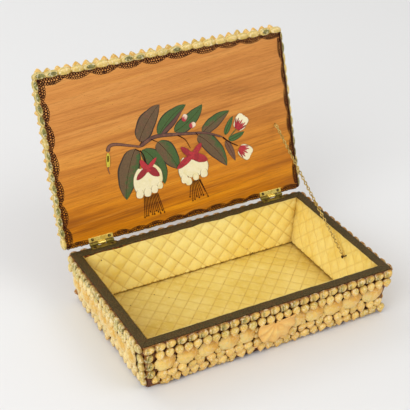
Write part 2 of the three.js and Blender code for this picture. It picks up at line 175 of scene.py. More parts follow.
class Graph:
    def __init__(self, name):
        self.material = bpy.data.materials.new(name)
        self.material.use_nodes = True
        self.nodes = self.material.node_tree.nodes
        self.links = self.material.node_tree.links
        self.shader = self.nodes["Principled BSDF"]

    def add(self, kind, settings, sockets, output=0):
        node = self.nodes.new(kind)
        for name, value in settings.items():
            if name == "stops":
                self.setStops(node.color_ramp, value)
            else:
                setattr(node, name, value)
        self.feed(node, sockets)
        return Link(self, node.outputs[output])

    def feed(self, node, sockets):
        for name, value in sockets.items():
            if isinstance(value, Link):
                self.links.new(value.socket, node.inputs[name])
            else:
                node.inputs[name].default_value = value

    def setStops(self, ramp, stops):
        while len(ramp.elements) < len(stops):
            ramp.elements.new(0.5)
        for element, (place, colour) in zip(ramp.elements, stops):
            element.position = place
            element.color = colour

    def surface(self, **sockets):
        self.feed(self.shader, {name.replace("_", " "): value for name, value in sockets.items()})
        return self.material

    def places(self, place=(0, 0, 0), turned=(0, 0, 0)):  # object coordinates in millimetres
        source = self.add("ShaderNodeTexCoord", {}, {}, "Object")
        sockets = {"Vector": source, "Location": place, "Rotation": turned, "Scale": (mm, mm, mm)}
        return self.add("ShaderNodeMapping", {"vector_type": "TEXTURE"}, sockets)

    def stretch(self, vector, x, y, z):
        return self.add("ShaderNodeVectorMath", {"operation": "MULTIPLY"}, {0: vector, 1: (x, y, z)})

    def split(self, vector):
        node = self.nodes.new("ShaderNodeSeparateXYZ")
        self.links.new(vector.socket, node.inputs[0])
        return [Link(self, out) for out in node.outputs]

    def noise(self, vector, scale, detail=3.0, rough=0.5, warp=0.0):
        sockets = {"Vector": vector, "Scale": scale, "Detail": detail, "Roughness": rough, "Distortion": warp}
        return self.add("ShaderNodeTexNoise", {}, sockets)

    def cells(self, vector, scale):
        return self.add("ShaderNodeTexVoronoi", {"feature": "F1"}, {"Vector": vector, "Scale": scale})

    def mix(self, factor, first, second):
        return self.add("ShaderNodeMix", {"data_type": "RGBA"}, {0: factor, 6: first, 7: second}, 2)

    def multiply(self, factor, first, second):
        settings = {"data_type": "RGBA", "blend_type": "MULTIPLY"}
        return self.add("ShaderNodeMix", settings, {0: factor, 6: first, 7: second}, 2)

    def ramp(self, factor, *stops):
        return self.add("ShaderNodeValToRGB", {"stops": stops}, {0: factor})

    def attribute(self, name, output):
        return self.add("ShaderNodeAttribute", {"attribute_name": name}, {}, output)

    def bump(self, height, strength, distance):
        sockets = {"Height": height, "Strength": strength, "Distance": distance}
        return self.add("ShaderNodeBump", {}, sockets)


# finishes of the wood
def paintedRim():  # charcoal-brown paint on top, raw red-brown wood where it has worn or torn away
    g = Graph("painted rim")
    at = g.places()
    z = g.split(at)[2]
    fleck = g.noise(at, 1.1, 4, 0.7)
    blotch = g.noise(at, 0.09, 3, 0.6)
    paint = g.ramp(blotch, (0.3, rgb("3f321b")), (0.52, rgb("483a20")), (0.7, rgb("523b20")))
    paint = g.mix(fleck.above(0.55, 0.1) * 0.7, paint, rgb("6e6238"))
    paint = g.mix(fleck.below(0.42, 0.08) * 0.75, paint, rgb("251a0e"))
    paint = g.mix(g.noise(at, 0.7, 2, 0.5).above(0.66, 0.05) * 0.6, paint, rgb("8a4a26"))
    raw = g.noise(at, 0.5, 4, 0.6)
    raw = g.ramp(raw, (0.3, rgb("2c120a")), (0.48, rgb("5c280e")), (0.62, rgb("a4581a")))
    edge = (z + g.noise(at, 0.35, 3, 0.6) * 1.6).above(box["height"] - 0.5, 0.4)
    colour = g.mix(edge, raw, paint)
    grain = g.noise(g.stretch(at, 0.5, 0.5, 0.5), 1.6, 3, 0.6) + fleck * 0.5
    bump = g.bump(grain, 0.6, 0.0006)
    return g.surface(Base_Color=colour, Roughness=0.5 + fleck * 0.25, Specular_IOR_Level=0.12, Normal=bump)


def varnishedLid():  # amber varnish over streaky wood, its grain along the lid
    g = Graph("varnished lid")
    at = g.places(place=axisPlace, turned=(-math.radians(90 + lid["lean"]), 0, 0))
    y, z = g.split(at)[1:]
    height = y * -1 / lid["depth"]  # 0 at the hinge edge, 1 at the top
    settings = {"rotation_type": "Z_AXIS"}
    rising = g.add("ShaderNodeVectorRotate", settings, {"Vector": at, "Angle": math.radians(4)})
    broad = g.noise(g.stretch(rising, 0.0032, 0.065, 0.06), 1.0, 5, 0.62, 0.8)
    fine = g.noise(g.stretch(rising, 0.011, 0.5, 0.5), 1.0, 4, 0.65, 0.5)
    hair = g.noise(g.stretch(rising, 0.09, 2.6, 1.0), 1.0, 3, 0.7)
    upper = g.ramp(broad, (0.28, rgb("aa6e38")), (0.4, rgb("c47e3c")), (0.52, rgb("d28c46")),
                   (0.7, rgb("dc9c54")))
    lower = g.ramp(broad, (0.3, rgb("945008")), (0.42, rgb("bc6e08")), (0.55, rgb("d6840a")),
                   (0.7, rgb("f0a012")))
    colour = g.mix(height.above(0.42, 0.75), lower, upper)
    colour = g.mix(fine.below(0.42, 0.16) * (0.4 - height * 0.24), colour, rgb("7f4a1c"))
    colour = g.mix(fine.above(0.6, 0.12) * 0.22, colour, rgb("e8a848"))
    colour = g.mix(hair.below(0.42, 0.12) * 0.4, colour, rgb("8a5420"))
    knots = g.noise(g.stretch(at, 0.3, 0.35, 0.3), 1.0, 2, 0.5).above(0.78, 0.04)
    colour = g.mix(knots * 0.5, colour, rgb("6d3d18"))
    outside = z.above(lid["lift"] + lid["thick"] - 0.6, 0.3)
    colour = g.mix(outside, colour, g.multiply(1.0, colour, rgb("9a7a60")))
    bump = g.bump(hair + fine * 0.6, 0.18, 0.0003)
    return g.surface(Base_Color=colour, Roughness=0.4 + hair * 0.12, Specular_IOR_Level=0.15,
                     Coat_Weight=0.06, Coat_Roughness=0.25, Normal=bump)


def oldBoard():  # bare board under the box
    g = Graph("old board")
    at = g.places()
    grain = g.noise(g.stretch(at, 0.02, 0.5, 0.5), 1.0, 4, 0.6, 0.4)
    colour = g.ramp(grain, (0.3, rgb("5a3a1e")), (0.5, rgb("7a5230")), (0.7, rgb("94693f")))
    return g.surface(Base_Color=colour, Roughness=0.75, Normal=g.bump(grain, 0.4, 0.0005))


def gluedWood():  # dark stained wood between the shells, with pools of amber glue
    g = Graph("glued wood")
    at = g.places()
    pool = g.noise(at, 0.16, 3, 0.6)
    dirtAndShade = g.noise(at, 0.9, 4, 0.7)
    colour = g.ramp(dirtAndShade, (0.3, rgb("3c1a08")), (0.55, rgb("70390f")), (0.75, rgb("9c6220")))
    colour = g.mix(pool.above(0.5, 0.12) * 0.6, colour, rgb("ae7428"))
    return g.surface(Base_Color=colour, Roughness=0.35 + dirtAndShade * 0.4, Normal=g.bump(dirtAndShade + pool, 0.6, 0.0008))


# quilted vinyl with painted shade in its corners, by the top edge of the walls, over the left wall and the
# left of the floor, and darker brown along its seams
def quiltedVinyl(name, light, deep):
    g = Graph(name)
    at = g.places()
    crease = g.attribute("crease", "Fac")
    shade = g.attribute("shade", "Fac")
    stain = g.noise(at, 0.022, 3, 0.6, 0.6)
    mottle = g.noise(at, 0.28, 4, 0.6)
    colour = g.ramp(stain, (0.3, rgb(deep)), (0.62, rgb(light)))
    # painted shade, from the pads' shade attribute
    colour = g.mix(shade, colour, rgb("a87c18"))
    colour = g.mix(mottle.above(0.55, 0.2) * 0.3, colour, rgb("f3dc92"))
    colour = g.mix(crease * 0.42, colour, rgb("b98d36"))
    colour = g.mix((crease * g.noise(at, 0.12, 3, 0.6)).above(0.5, 0.12) * 0.4, colour, rgb("8a5a14"))
    speck = g.cells(at, 0.055).below(0.035, 0.02)
    colour = g.mix(speck * 0.85, colour, rgb("5b3512"))
    fine = g.noise(at, 2.2, 3, 0.6)
    wrinkle = g.noise(g.stretch(at, 0.35, 0.35, 0.8), 0.5, 3, 0.6, 1.0)
    bump = g.bump(fine * 0.25 + wrinkle, 0.35, 0.0005)
    return g.surface(Base_Color=colour, Roughness=0.4 + mottle * 0.15, Specular_IOR_Level=0.35, Normal=bump)


# metal
def brassFinish(name, bright, dull, tarnish, rough):
    g = Graph(name)
    at = g.places()
    wear = g.noise(at, 0.35, 4, 0.65)
    spots = g.noise(at, 1.4, 3, 0.6)
    colour = g.ramp(wear, (0.35, rgb(dull)), (0.6, rgb(bright)))
    colour = g.mix(spots.above(0.6, 0.1) * tarnish, colour, rgb("4c4018"))
    scratch = g.noise(g.stretch(at, 0.4, 6.0, 6.0), 1.0, 2, 0.5)
    bump = g.bump(spots + scratch * 0.5, 0.25, 0.0002)
    shine = 0.92 - tarnish * 0.25
    return g.surface(Base_Color=colour, Metallic=shine, Roughness=rough + wear * 0.2, Normal=bump)


def darkMetal(name, base, rust):
    g = Graph(name)
    at = g.places()
    wear = g.noise(at, 1.2, 3, 0.6)
    colour = g.mix(wear.above(0.55, 0.15), rgb(base), rgb(rust))
    bump = g.bump(wear, 0.4, 0.0002)
    return g.surface(Base_Color=colour, Metallic=0.6, Roughness=0.45 + wear * 0.25, Normal=bump)


# Shells. "where" is a place on one shell, across, along and out of it, from -1 to 1, and
# "tone" is a number from 0 to 1 that each shell has of its own.
def shellParts(name):
    g = Graph(name)
    across, along, out = g.split(g.attribute("where", "Vector"))
    return g, across, along, out, g.attribute("tone", "Fac"), g.places()


# every shell's surface is yellowed by age, less on the copies painted lighter, and has algae and pale patches
# painted as glints
def shellSurface(g, colour, height, strength=0.35, rough=0.32, ageAndShade=1.0, spots=1.0):
    at = g.places()
    mottle = g.noise(at, 1.3, 3, 0.6)
    colour = g.multiply(ageAndShade, colour, rgb("ffecbc"))
    algae = g.noise(at, 0.3, 3, 0.6, 0.5).above(0.58, 0.06)
    colour = g.mix(algae * 0.3 * spots, colour, rgb("8f9550"))
    # painted highlight: pale glints in patches
    glint = g.noise(at, 0.5, 2, 0.5, 0.4).above(0.58, 0.06)
    colour = g.mix(glint * 0.4 * spots, colour, rgb("fff0cc"))
    bump = g.bump(height + mottle * 0.4, strength, 0.0004)
    return g.surface(Base_Color=colour, Roughness=rough + mottle * 0.14, Specular_IOR_Level=0.4, Normal=bump)


# cream body, grey-green by the mouth, painted shade in the slit and a pale lip; painted highlights on the
# crest, painted shade at the underside, and painted light over the whole of some copies
def ovalFinish(name, dirtAndShade, paintedLight, ageAndShade=1.0):
    g, across, along, out, tone, at = shellParts(name)
    drift = g.noise(at, 0.35, 3, 0.6)
    x = across + (drift - 0.5) * 0.5
    body = g.ramp(tone, (0.0, rgb("eed488")), (0.45, rgb("e8c76c")), (0.8, rgb("dcbb60")),
                  (1.0, rgb("c2ac5a")))
    body = g.mix(g.noise(at, 0.8, 3, 0.6).above(0.56, 0.15) * 0.45, body, rgb("c9a552"))
    green = g.ramp(drift, (0.35, rgb("646c38")), (0.55, rgb("8e8c4c")), (0.7, rgb("c0a856")))
    colour = g.mix((x + 0.12 - tone * 0.3).below(0.0, 0.3) * (0.25 + tone * 0.7), body, green)
    # painted shade: the slit darkened along the groove of the mouth
    slit = (across + 0.36 - along * along * 0.25).abs().below(0.1, 0.1) * along.abs().below(0.75, 0.3)
    colour = g.mix(slit * out.above(0.1, 0.2) * 0.35, colour, rgb("4c4e2c"))
    lip = (across + 0.74 - along * along * 0.25).abs().below(0.1, 0.14)
    colour = g.mix(lip * 0.6, colour, rgb("f0deaa"))
    # painted highlight: paler patches on the crest
    crest = out.above(0.35, 0.9) * g.noise(at, 0.55, 3, 0.6).above(0.45, 0.2)
    colour = g.mix(crest * 0.35, colour, rgb("fae8ae"))
    # painted light: the whole shell lightened, on the lid edge and left side copies
    colour = g.mix(paintedLight, colour, rgb("ffe48a"))
    mouth = (along * along * 1.9 + (out + 0.1) * (out + 0.1) * 1.7).below(0.7, 0.3)
    mouth = mouth * across.below(-0.3, 0.25)
    olive = g.ramp(drift, (0.4, rgb("3c4a18")), (0.62, rgb("707634")))
    colour = g.mix(mouth * tone.above(0.62, 0.2) * 0.9, colour, olive)
    # painted shade: darker brown at the underside, by the wood
    colour = g.mix(out.below(0.1, 1.0) * dirtAndShade, colour, rgb("905a14"))
    return shellSurface(g, colour, g.noise(at, 0.8, 2, 0.5), ageAndShade=ageAndShade)


def pointedFinish(name, dirtAndShade, ageAndShade=1.0):  # greenish at the top, peach to orange at the tip
    g, across, along, out, tone, at = shellParts(name)
    drift = g.noise(at, 0.4, 3, 0.6)
    body = g.ramp(tone, (0.0, rgb("f0d48c")), (0.35, rgb("e8c470")), (0.7, rgb("e0b65a")),
                  (1.0, rgb("cfb660")))
    patch = g.noise(at, 0.75, 3, 0.6)
    colour = g.mix((along + (drift - 0.5) * 2.4).above(0.3, 0.5) * (0.25 + tone * 0.45), body, rgb("a8a860"))
    colour = g.mix((along + (drift - 0.5) * 0.9).below(-0.45, 0.6) * 0.35 * ageAndShade, colour, rgb("e0a04a"))
    # painted highlight: paler patches on the crest
    colour = g.mix(out.above(0.3, 0.9) * patch.above(0.46, 0.16) * 0.5, colour, rgb("fbeab2"))
    # painted shade: darker brown at the underside, by the wood
    colour = g.mix(out.below(0.15, 0.9) * dirtAndShade, colour, rgb("985a10"))
    return shellSurface(g, colour, g.noise(at, 0.84, 2, 0.5), ageAndShade=ageAndShade)


def jingleFinish(name, ageAndShade=1.0):  # thin golden dishes with pale ragged rims
    g, across, along, out, tone, at = shellParts(name)
    drift = g.noise(at, 0.22, 3, 0.6)
    rings = g.noise(g.stretch(at, 0.5, 0.5, 1.4), 0.9, 3, 0.6)
    body = g.ramp(tone, (0.0, rgb("f0d080")), (0.5, rgb("f4da90")), (1.0, rgb("f2d89a")))
    # darker gold towards the upper right and paler towards the lower left: partly the shell's own two tones,
    # partly painted shade and painted highlight
    deep = (across * 0.65 + along * 0.55 + (drift - 0.5) * 2.2).above(0.2, 0.7)
    colour = g.mix(deep * 0.85, body, g.ramp(drift, (0.4, rgb("d09a28")), (0.65, rgb("e2b244"))))
    pale = (across * -0.5 - along * 0.5 + (drift - 0.5) * 2.4).above(0.25, 0.5)
    colour = g.mix(pale * 0.6, colour, g.ramp(tone, (0.3, rgb("f8ecb8")), (0.7, rgb("e8e8bc"))))
    blot = g.noise(at, 0.5, 4, 0.65)
    colour = g.mix(blot.above(0.56, 0.12) * 0.35, colour, rgb("dcae50"))
    rim = (across * across + along * along).above(0.74, 0.3)
    colour = g.mix(rim * 0.5, colour, rgb("f8e6ac"))
    # painted shade: darker brown at the dish's underside
    colour = g.mix(out.below(-0.75, 0.3) * 0.7, colour, rgb("985a10"))
    return shellSurface(g, colour, rings, 0.8, 0.24, ageAndShade, 0.6)


def fanFinish():  # peach cream, deeper between the ribs and towards the beak
    g, across, along, out, tone, at = shellParts("fan shell")
    drift = g.noise(at, 0.18, 3, 0.6)
    colour = g.ramp(drift, (0.35, rgb("f2ca80")), (0.6, rgb("f6d894")), (0.75, rgb("fae4a8")))
    # painted shade: darker peach where the surface lies low, between the ribs
    colour = g.mix(out.below(0.4, 0.5) * 0.35, colour, rgb("dd9c44"))
    colour = g.mix(along.above(0.55, 0.4) * 0.35, colour, rgb("f0c98c"))
    return shellSurface(g, colour, g.noise(at, 0.7, 2, 0.5), 0.2, 0.38, 0.8, 0.1)


# small turned shells, cream to peach, orange at the tip
def whorlFinish(name, dirtAndShade, ageAndShade=1.0):
    g, across, along, out, tone, at = shellParts(name)
    drift = g.noise(at, 0.45, 3, 0.6)
    patch = g.noise(at, 0.75, 3, 0.6)
    body = g.ramp(tone, (0.0, rgb("f2d890")), (0.35, rgb("eccc86")), (0.7, rgb("e8bc68")),
                  (1.0, rgb("d8c070")))
    colour = g.mix((along + (drift - 0.5) * 2.0).below(-0.3, 0.6) * 0.4, body, rgb("e09c48"))
    colour = g.mix((drift * 0.6 + patch * 0.4).above(0.53, 0.1) * (0.2 + tone * 0.45), colour, rgb("a4a45c"))
    # painted highlight: paler patches on the crest
    colour = g.mix(out.above(0.2, 0.9) * patch.above(0.46, 0.16) * 0.5, colour, rgb("fbeab2"))
    # painted shade: darker brown at the underside, by the wood
    colour = g.mix(out.below(0.15, 0.9) * dirtAndShade, colour, rgb("96540c"))
    return shellSurface(g, colour, g.noise(at, 1.08, 2, 0.5), ageAndShade=ageAndShade)


# Paint on the lid. "where" is across and along one stroke, from -1 to 1. The second colour
# comes in where tone, turned by lean across the stroke and by fade along it, is high.
def strokeFinish(name, first, second, line, rim=0.12, grain=0.5, lean=0.0, fade=0.0):
    g, across, along, out, tone, at = shellParts(name)
    daub = g.noise(at, 0.22, 3, 0.6, 0.6)
    ridge = g.noise(at, 0.8, 3, 0.6)
    share = tone + (daub - 0.5) * 0.9 + across * lean + along * fade
    body = g.mix(share.above(0.5, 0.35), rgb(first), rgb(second))
    body = g.multiply(grain, body, g.ramp(ridge, (0.35, rgb("b0b0b0")), (0.65, rgb("ffffff"))))
    edge = across.abs().above(1 - rim, 0.1)
    colour = g.mix(edge.above(0.3, 0.4) * 0.8, body, rgb(line))
    bump = g.bump(ridge + daub, 0.5, 0.0004)
    return g.surface(Base_Color=colour, Roughness=0.35 + ridge * 0.15, Normal=bump)


def inkFinish():  # brown pen of the lace and the fine lines
    g = Graph("brown ink")
    at = g.places()
    thin = g.noise(at, 0.5, 3, 0.6)
    colour = g.ramp(thin, (0.3, rgb("240e08")), (0.6, rgb("381608")), (0.75, rgb("562610")))
    bump = g.bump(thin, 0.2, 0.0002)
    return g.surface(Base_Color=colour, Roughness=0.6, Specular_IOR_Level=0.1, Normal=bump)


finishes = {
    "rim": paintedRim(),
    "lid": varnishedLid(),
    "board": oldBoard(),
    "glue": gluedWood(),
    "floor pad": quiltedVinyl("quilted floor", "efd678", "e0bf50"),
    "wall pad": quiltedVinyl("quilted walls", "fde88c", "f4d464"),
    "bright brass": brassFinish("bright brass", "f2dc7c", "d8b84a", 0.15, 0.16),
    "dull brass": brassFinish("dull brass", "9c8a3c", "6d6026", 0.6, 0.38),
    "chain": brassFinish("chain brass", "dcc070", "94742c", 0.45, 0.28),
    "screw": darkMetal("dark screw", "3a2a10", "5c4718"),
    "nail": darkMetal("old nail", "2a2018", "4c2c16"),
    "oval": ovalFinish("oval shells", 0.8, 0.0),
    # the lid edge ovals' copy is painted lighter: painted light over all, less tint and less painted shade
    # underneath
    "edge oval": ovalFinish("lid edge shells", 0.15, 0.3, 0.5),
    # the left side's finishes, here and the pale ones below, are copies painted lighter: less tint and less
    # painted shade underneath
    "side oval": ovalFinish("left side ovals", 0.5, 0.1, 0.3),
    "pointed": pointedFinish("pointed shells", 0.8),
    "border": pointedFinish("lid border shells", 0.1, 0.4),
    "pale pointed": pointedFinish("pale pointed shells", 0.5, 0.25),
    "jingle": jingleFinish("jingle shells"),
    "pale jingle": jingleFinish("pale jingle shells", 0.2),
    "fan": fanFinish(),
    "whorl": whorlFinish("whorled shells", 0.8),
    "pale whorl": whorlFinish("pale whorled shells", 0.5, 0.25),
    "leaf": strokeFinish("leaf paint", "44642a", "6e5434", "1c130c", 0.13, lean=0.35, fade=-0.2),
    "young leaf": strokeFinish("young leaf paint", "446c2e", "5a6a38", "1c130c", 0.16),
    "brown leaf": strokeFinish("brown leaf paint", "6a5232", "7a5238", "22130c", 0.13),
    "stem": strokeFinish("stem paint", "6a4234", "8a5a42", "2a140e", 0.35),
    "red": strokeFinish("red paint", "a01c26", "c22a34", "5c0d12", 0.05),
    "cream": strokeFinish("cream paint", "efe2aa", "f6ecc4", "7a6236", 0.09, 0.12),
    "blush": strokeFinish("blush paint", "f2dcc0", "b82c38", "7a2a1c", 0.12, 0.2, fade=-0.6),
    "pod": strokeFinish("yellow paint", "d8c322", "e8d84a", "3a3010", 0.12),
    "ink": inkFinish(),
}
print("finishes made:", len(finishes))


# building: every piece is drawn in millimetres and placed by one matrix
def addPiece(name, bm, finish, body, replaced=(), smooth=True):
    mesh = bpy.data.meshes.new(name)
    for face in bm.faces:
        face.smooth = smooth
    bm.to_mesh(mesh)
    bm.free()
    mesh.materials.append(finishes[finish])
    piece = bpy.data.objects.new(name, mesh)
    bpy.context.collection.objects.link(piece)
    if body:
        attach(piece, body)
    if replaced:
        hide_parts(*replaced)
    return piece


def shellMesh():  # an empty mesh that can hold shells and their colours
    bm = bmesh.new()
    bm.verts.layers.float_vector.new("where")
    bm.verts.layers.float.new("tone")
    return bm


def keepShape(name, bm):  # stores one shell, its extents written into "where"
    where = bm.verts.layers.float_vector["where"]
    low = Vector([min(v.co[i] for v in bm.verts) for i in range(3)])
    high = Vector([max(v.co[i] for v in bm.verts) for i in range(3)])
    middle, half = (low + high) / 2, (high - low) / 2
    for v in bm.verts:
        v[where] = Vector([(v.co[i] - middle[i]) / max(half[i], 1e-6) for i in range(3)])
    bmesh.ops.recalc_face_normals(bm, faces=bm.faces[:])
    mesh = bpy.data.meshes.new(name)
    bm.to_mesh(mesh)
    bm.free()
    return mesh


def stamp(bm, shape, matrix, tone):  # adds a copy of a stored shape
    before = len(bm.verts)
    bm.from_mesh(shape)
    bm.verts.ensure_lookup_table()
    fresh = bm.verts[before:]
    bmesh.ops.transform(bm, matrix=matrix, verts=fresh)
    layer = bm.verts.layers.float["tone"]
    for v in fresh:
        v[layer] = tone


def sized(x, y, z, width, height, out, degrees=0.0, nod=0.0):  # place, size and turn of one shell
    turned = turnAbout("Z", degrees) @ turnAbout("X", nod)
    return move(x, y, z) @ turned @ Matrix.Diagonal((width, height, out, 1))


def bulge(value):
    return max(0.0, 1 - value * value)


# one oval shell: a rounded bean lying on the wood, its mouth in its left third
def ovalShape(variant):
    bm = shellMesh()
    bmesh.ops.create_uvsphere(bm, u_segments=18, v_segments=11, radius=0.5)
    bmesh.ops.rotate(bm, matrix=Matrix.Rotation(math.radians(90), 3, "X"), verts=bm.verts[:])
    for v in bm.verts:
        x, y, z = v.co
        wide = 1 + 0.12 * x - 0.25 * (y - 0.1 * variant) ** 2
        depth = (max(z, -0.2) + 0.2) / 0.7
        if z > -0.2:
            crescent = x + 0.2 - 0.5 * y * y
            depth -= 0.34 * math.exp(-(crescent / 0.085) ** 2) * bulge(y / 0.42)
            depth += 0.1 * math.exp(-((crescent + 0.17) / 0.07) ** 2) * bulge(y / 0.46)
        hollow = 0.14 * bulge(y / 0.36) * bulge((depth - 0.5) / 0.42) if x < -0.2 else 0
        depth += 0.03 * noise.noise(Vector((x, y, z)) * 3 + Vector((variant, 0, 0)))
        v.co = (x + hollow, y * wide, depth)
    return keepShape("oval shape", bm)


# one pointed shell: a rounded top that narrows to a tip below, with a soft keel
def pointedShape(variant, sharp=0.72):
    bm = shellMesh()
    bmesh.ops.create_uvsphere(bm, u_segments=14, v_segments=10, radius=0.5)
    bmesh.ops.rotate(bm, matrix=Matrix.Rotation(math.radians(90), 3, "X"), verts=bm.verts[:])
    for v in bm.verts:
        x, y, z = v.co
        disc = math.sqrt(max(0.0004, 0.25 - y * y))
        narrow = 1.0 if y > 0.1 else min(1.0, 0.5 * ((y + 0.503) / 0.6) ** sharp / disc)
        lift = 0.5 + z * (0.7 + 0.35 * narrow)
        lift += 0.12 * math.exp(-(x / 0.12) ** 2) * (0.5 - y) if z > 0 else 0
        dent = noise.noise(Vector((x * 2, y * 2, variant * 3.1)))
        v.co = (x * narrow * 1.06 + 0.05 * variant * (0.5 - y) * 0.5, y + 0.03 * dent, lift + 0.06 * dent)
    return keepShape("pointed shape", bm)


# one small whorled shell lying on its side, spire down: a turned profile with pinched sutures
def whorlShape(variant):
    bm = shellMesh()
    waist = 0.1 + 0.05 * variant
    profile = [(0.02, 0.5), (0.28, 0.45), (0.44, 0.31), (0.47, 0.12), (0.4, -0.04 - waist * 0.2),
               (0.34, -0.1), (0.36, -0.16), (0.3, -0.26), (0.22, -0.3), (0.23, -0.35), (0.15, -0.43),
               (0.04, -0.5)]
    ring = [bm.verts.new((r, y, 0)) for r, y in profile]
    edges = [bm.edges.new(pair) for pair in zip(ring, ring[1:])]
    bmesh.ops.spin(bm, geom=ring + edges, cent=(0, 0, 0), axis=(0, 1, 0), angle=2 * math.pi, steps=12,
                   use_merge=True)
    bmesh.ops.remove_doubles(bm, verts=bm.verts[:], dist=0.001)
    bmesh.ops.holes_fill(bm, edges=[e for e in bm.edges if e.is_boundary], sides=0)
    for v in bm.verts:
        x, y, z = v.co
        skew = 0.16 * x * (1 - abs(y))
        v.co = (x + 0.05 * variant * y, y + skew, z + 0.45 + 0.04 * noise.noise(Vector((x, y, z)) * 4))
    return keepShape("whorl shape", bm)


# one thin dish with a ragged outline, a different one each time
def dishShape(variant):
    bm = shellMesh()
    bmesh.ops.create_circle(bm, cap_ends=True, segments=34, radius=0.5)
    for width in (0.05, 0.09, 0.11, 0.11):
        centre = max(bm.faces, key=lambda face: len(face.verts))
        bmesh.ops.inset_region(bm, faces=[centre], thickness=width, use_boundary=True)
    for v in bm.verts:
        angle = math.atan2(v.co.y, v.co.x)
        reach = v.co.length / 0.5
        ragged = 0.1 * noise.noise(Vector((math.cos(angle) * 3, math.sin(angle) * 3, variant * 5.3)))
        ragged += 0.1 * noise.noise(Vector((math.cos(angle) * 9, math.sin(angle) * 9, variant * 2.7)))
        flat = v.co * (1 + ragged * reach * reach * 1.4)
        ripple = 0.06 * noise.noise(Vector((flat.x * 5, flat.y * 5, variant * 1.9)))
        dome = 0.72 * (1 - reach * reach) ** 0.7 if reach < 1 else 0
        v.co = (flat.x, flat.y, 0.2 + dome + ripple + 0.12 * (reach ** 6) - 0.22 * flat.y)
    bmesh.ops.solidify(bm, geom=bm.faces[:], thickness=0.07)
    return keepShape("dish shape", bm)


# the fan shell in the middle of the front, ribbed from its beak
fan = {"reach": 21.8, "left": -98, "right": 100, "ribs": 6, "rise": 3.8, "beak": (0.8, 35.4), "thick": 0.7}


def fanPiece():
    bm = shellMesh()
    bmesh.ops.create_grid(bm, x_segments=fan["ribs"] * 8, y_segments=14, size=0.5)
    for v in bm.verts:
        across, along = v.co.x + 0.5, 0.5 - v.co.y
        degrees = fan["left"] + (fan["right"] - fan["left"]) * across
        angle = math.radians(degrees)
        rib = math.cos(2 * math.pi * fan["ribs"] * across)
        trim = 1 - 0.3 * (max(0, 0.42 - across) / 0.42) ** 1.6 - 0.12 * (max(0, across - 0.6) / 0.4) ** 2
        far = fan["reach"] * (0.06 + 0.94 * along) * trim * (1 + 0.025 * rib * along)
        dome = fan["rise"] * math.sin(math.pi * (0.16 + 0.66 * along)) * (1 - 0.5 * (2 * across - 1) ** 2)
        high = 4.4 + dome + 0.75 * rib * math.sqrt(along) + 0.8 * along
        v.co = (fan["beak"][0] + far * math.sin(angle), fan["beak"][1] - far * math.cos(angle), high)
    bmesh.ops.solidify(bm, geom=bm.faces[:], thickness=fan["thick"])
    bmesh.ops.recalc_face_normals(bm, faces=bm.faces[:])
    shape = keepShape("fan shape", bm)
    whole = shellMesh()
    stamp(whole, shape, Matrix.Identity(4), 0.5)
    return whole


shapes = {
    "oval": [ovalShape(i) for i in range(4)], "pointed": [pointedShape(i - 1) for i in range(4)],
    "blunt": [pointedShape(i - 1, 0.64) for i in range(4)],
    "whorl": [whorlShape(i) for i in range(3)], "dish": [dishShape(i) for i in range(12)],
}


def pick(kind):
    return shapes[kind][seeds.randrange(len(shapes[kind]))]


def near(value, spread):
    return value + seeds.uniform(-spread, spread)


def spread(first, last, count):  # centres of as many places side by side
    pitch = (last - first) / count
    return [first + (i + 0.5) * pitch for i in range(count)], pitch


bedOut = 0.7  # the shells' undersides start this far out from the wood


def halfAt(half, height):  # half the width of a sloping side, at a height along it
    return half - box["taper"] * (1 - height / box["face"])


def ovalRow(bm, first, last, y, height, count, green=0.0, turned=0.0, out=4.0, base=bedOut, wider=1.1):
    places, pitch = spread(first, last, count)
    for x in places:
        tone = min(1, seeds.random() * 0.75 + green * seeds.random())
        wide, tall = pitch * near(wider, 0.05), height * near(1.0, 0.06)
        if 45 < abs(turned) < 135:
            wide, tall = tall, wide
        shape = pick("oval")
        place = sized(near(x, 0.25), near(y, 0.25), base, wide, tall, near(out, 0.4), near(turned + 8, 8),
                      near(0, 6))
        stamp(bm, shape, place, tone)


def pointedRow(bm, first, last, y, height, count, out=3.8, kind="pointed", wider=1.0):
    places, pitch = spread(first, last, count)
    for x in places:
        shape = pick(kind)
        place = sized(near(x, 0.3), near(y, 0.4), bedOut + 0.4, pitch * near(wider, 0.07),
                      height * near(1.0, 0.07), near(out, 0.5), near(0, 9), near(-9, 5))
        stamp(bm, shape, place, seeds.random())


def dishRow(bm, places, y, height, out=5.2):
    for i, (x, width) in enumerate(places):
        shape = shapes["dish"][(i * 5 + len(places)) % len(shapes["dish"])]
        place = sized(x, near(y, 0.4), bedOut + 0.2, width, height * near(1.0, 0.05), near(out, 0.4),
                      near(0, 14))
        stamp(bm, shape, place, seeds.random())


# rows up a side, as heights along its slope, each a middle and an extent
rowHeights = {"oval": (46.3, 8.2), "pointed": (38.0, 9.8), "dish": (27.6, 18.5)}

# "column" is the end where shells are stacked up a corner, "inset" how far in from it, and
# "stand" how far out pointed shells, dishes and small shells stand. A dish is a middle and a width.
agedShells = ("oval", "pointed", "whorl", "jingle")
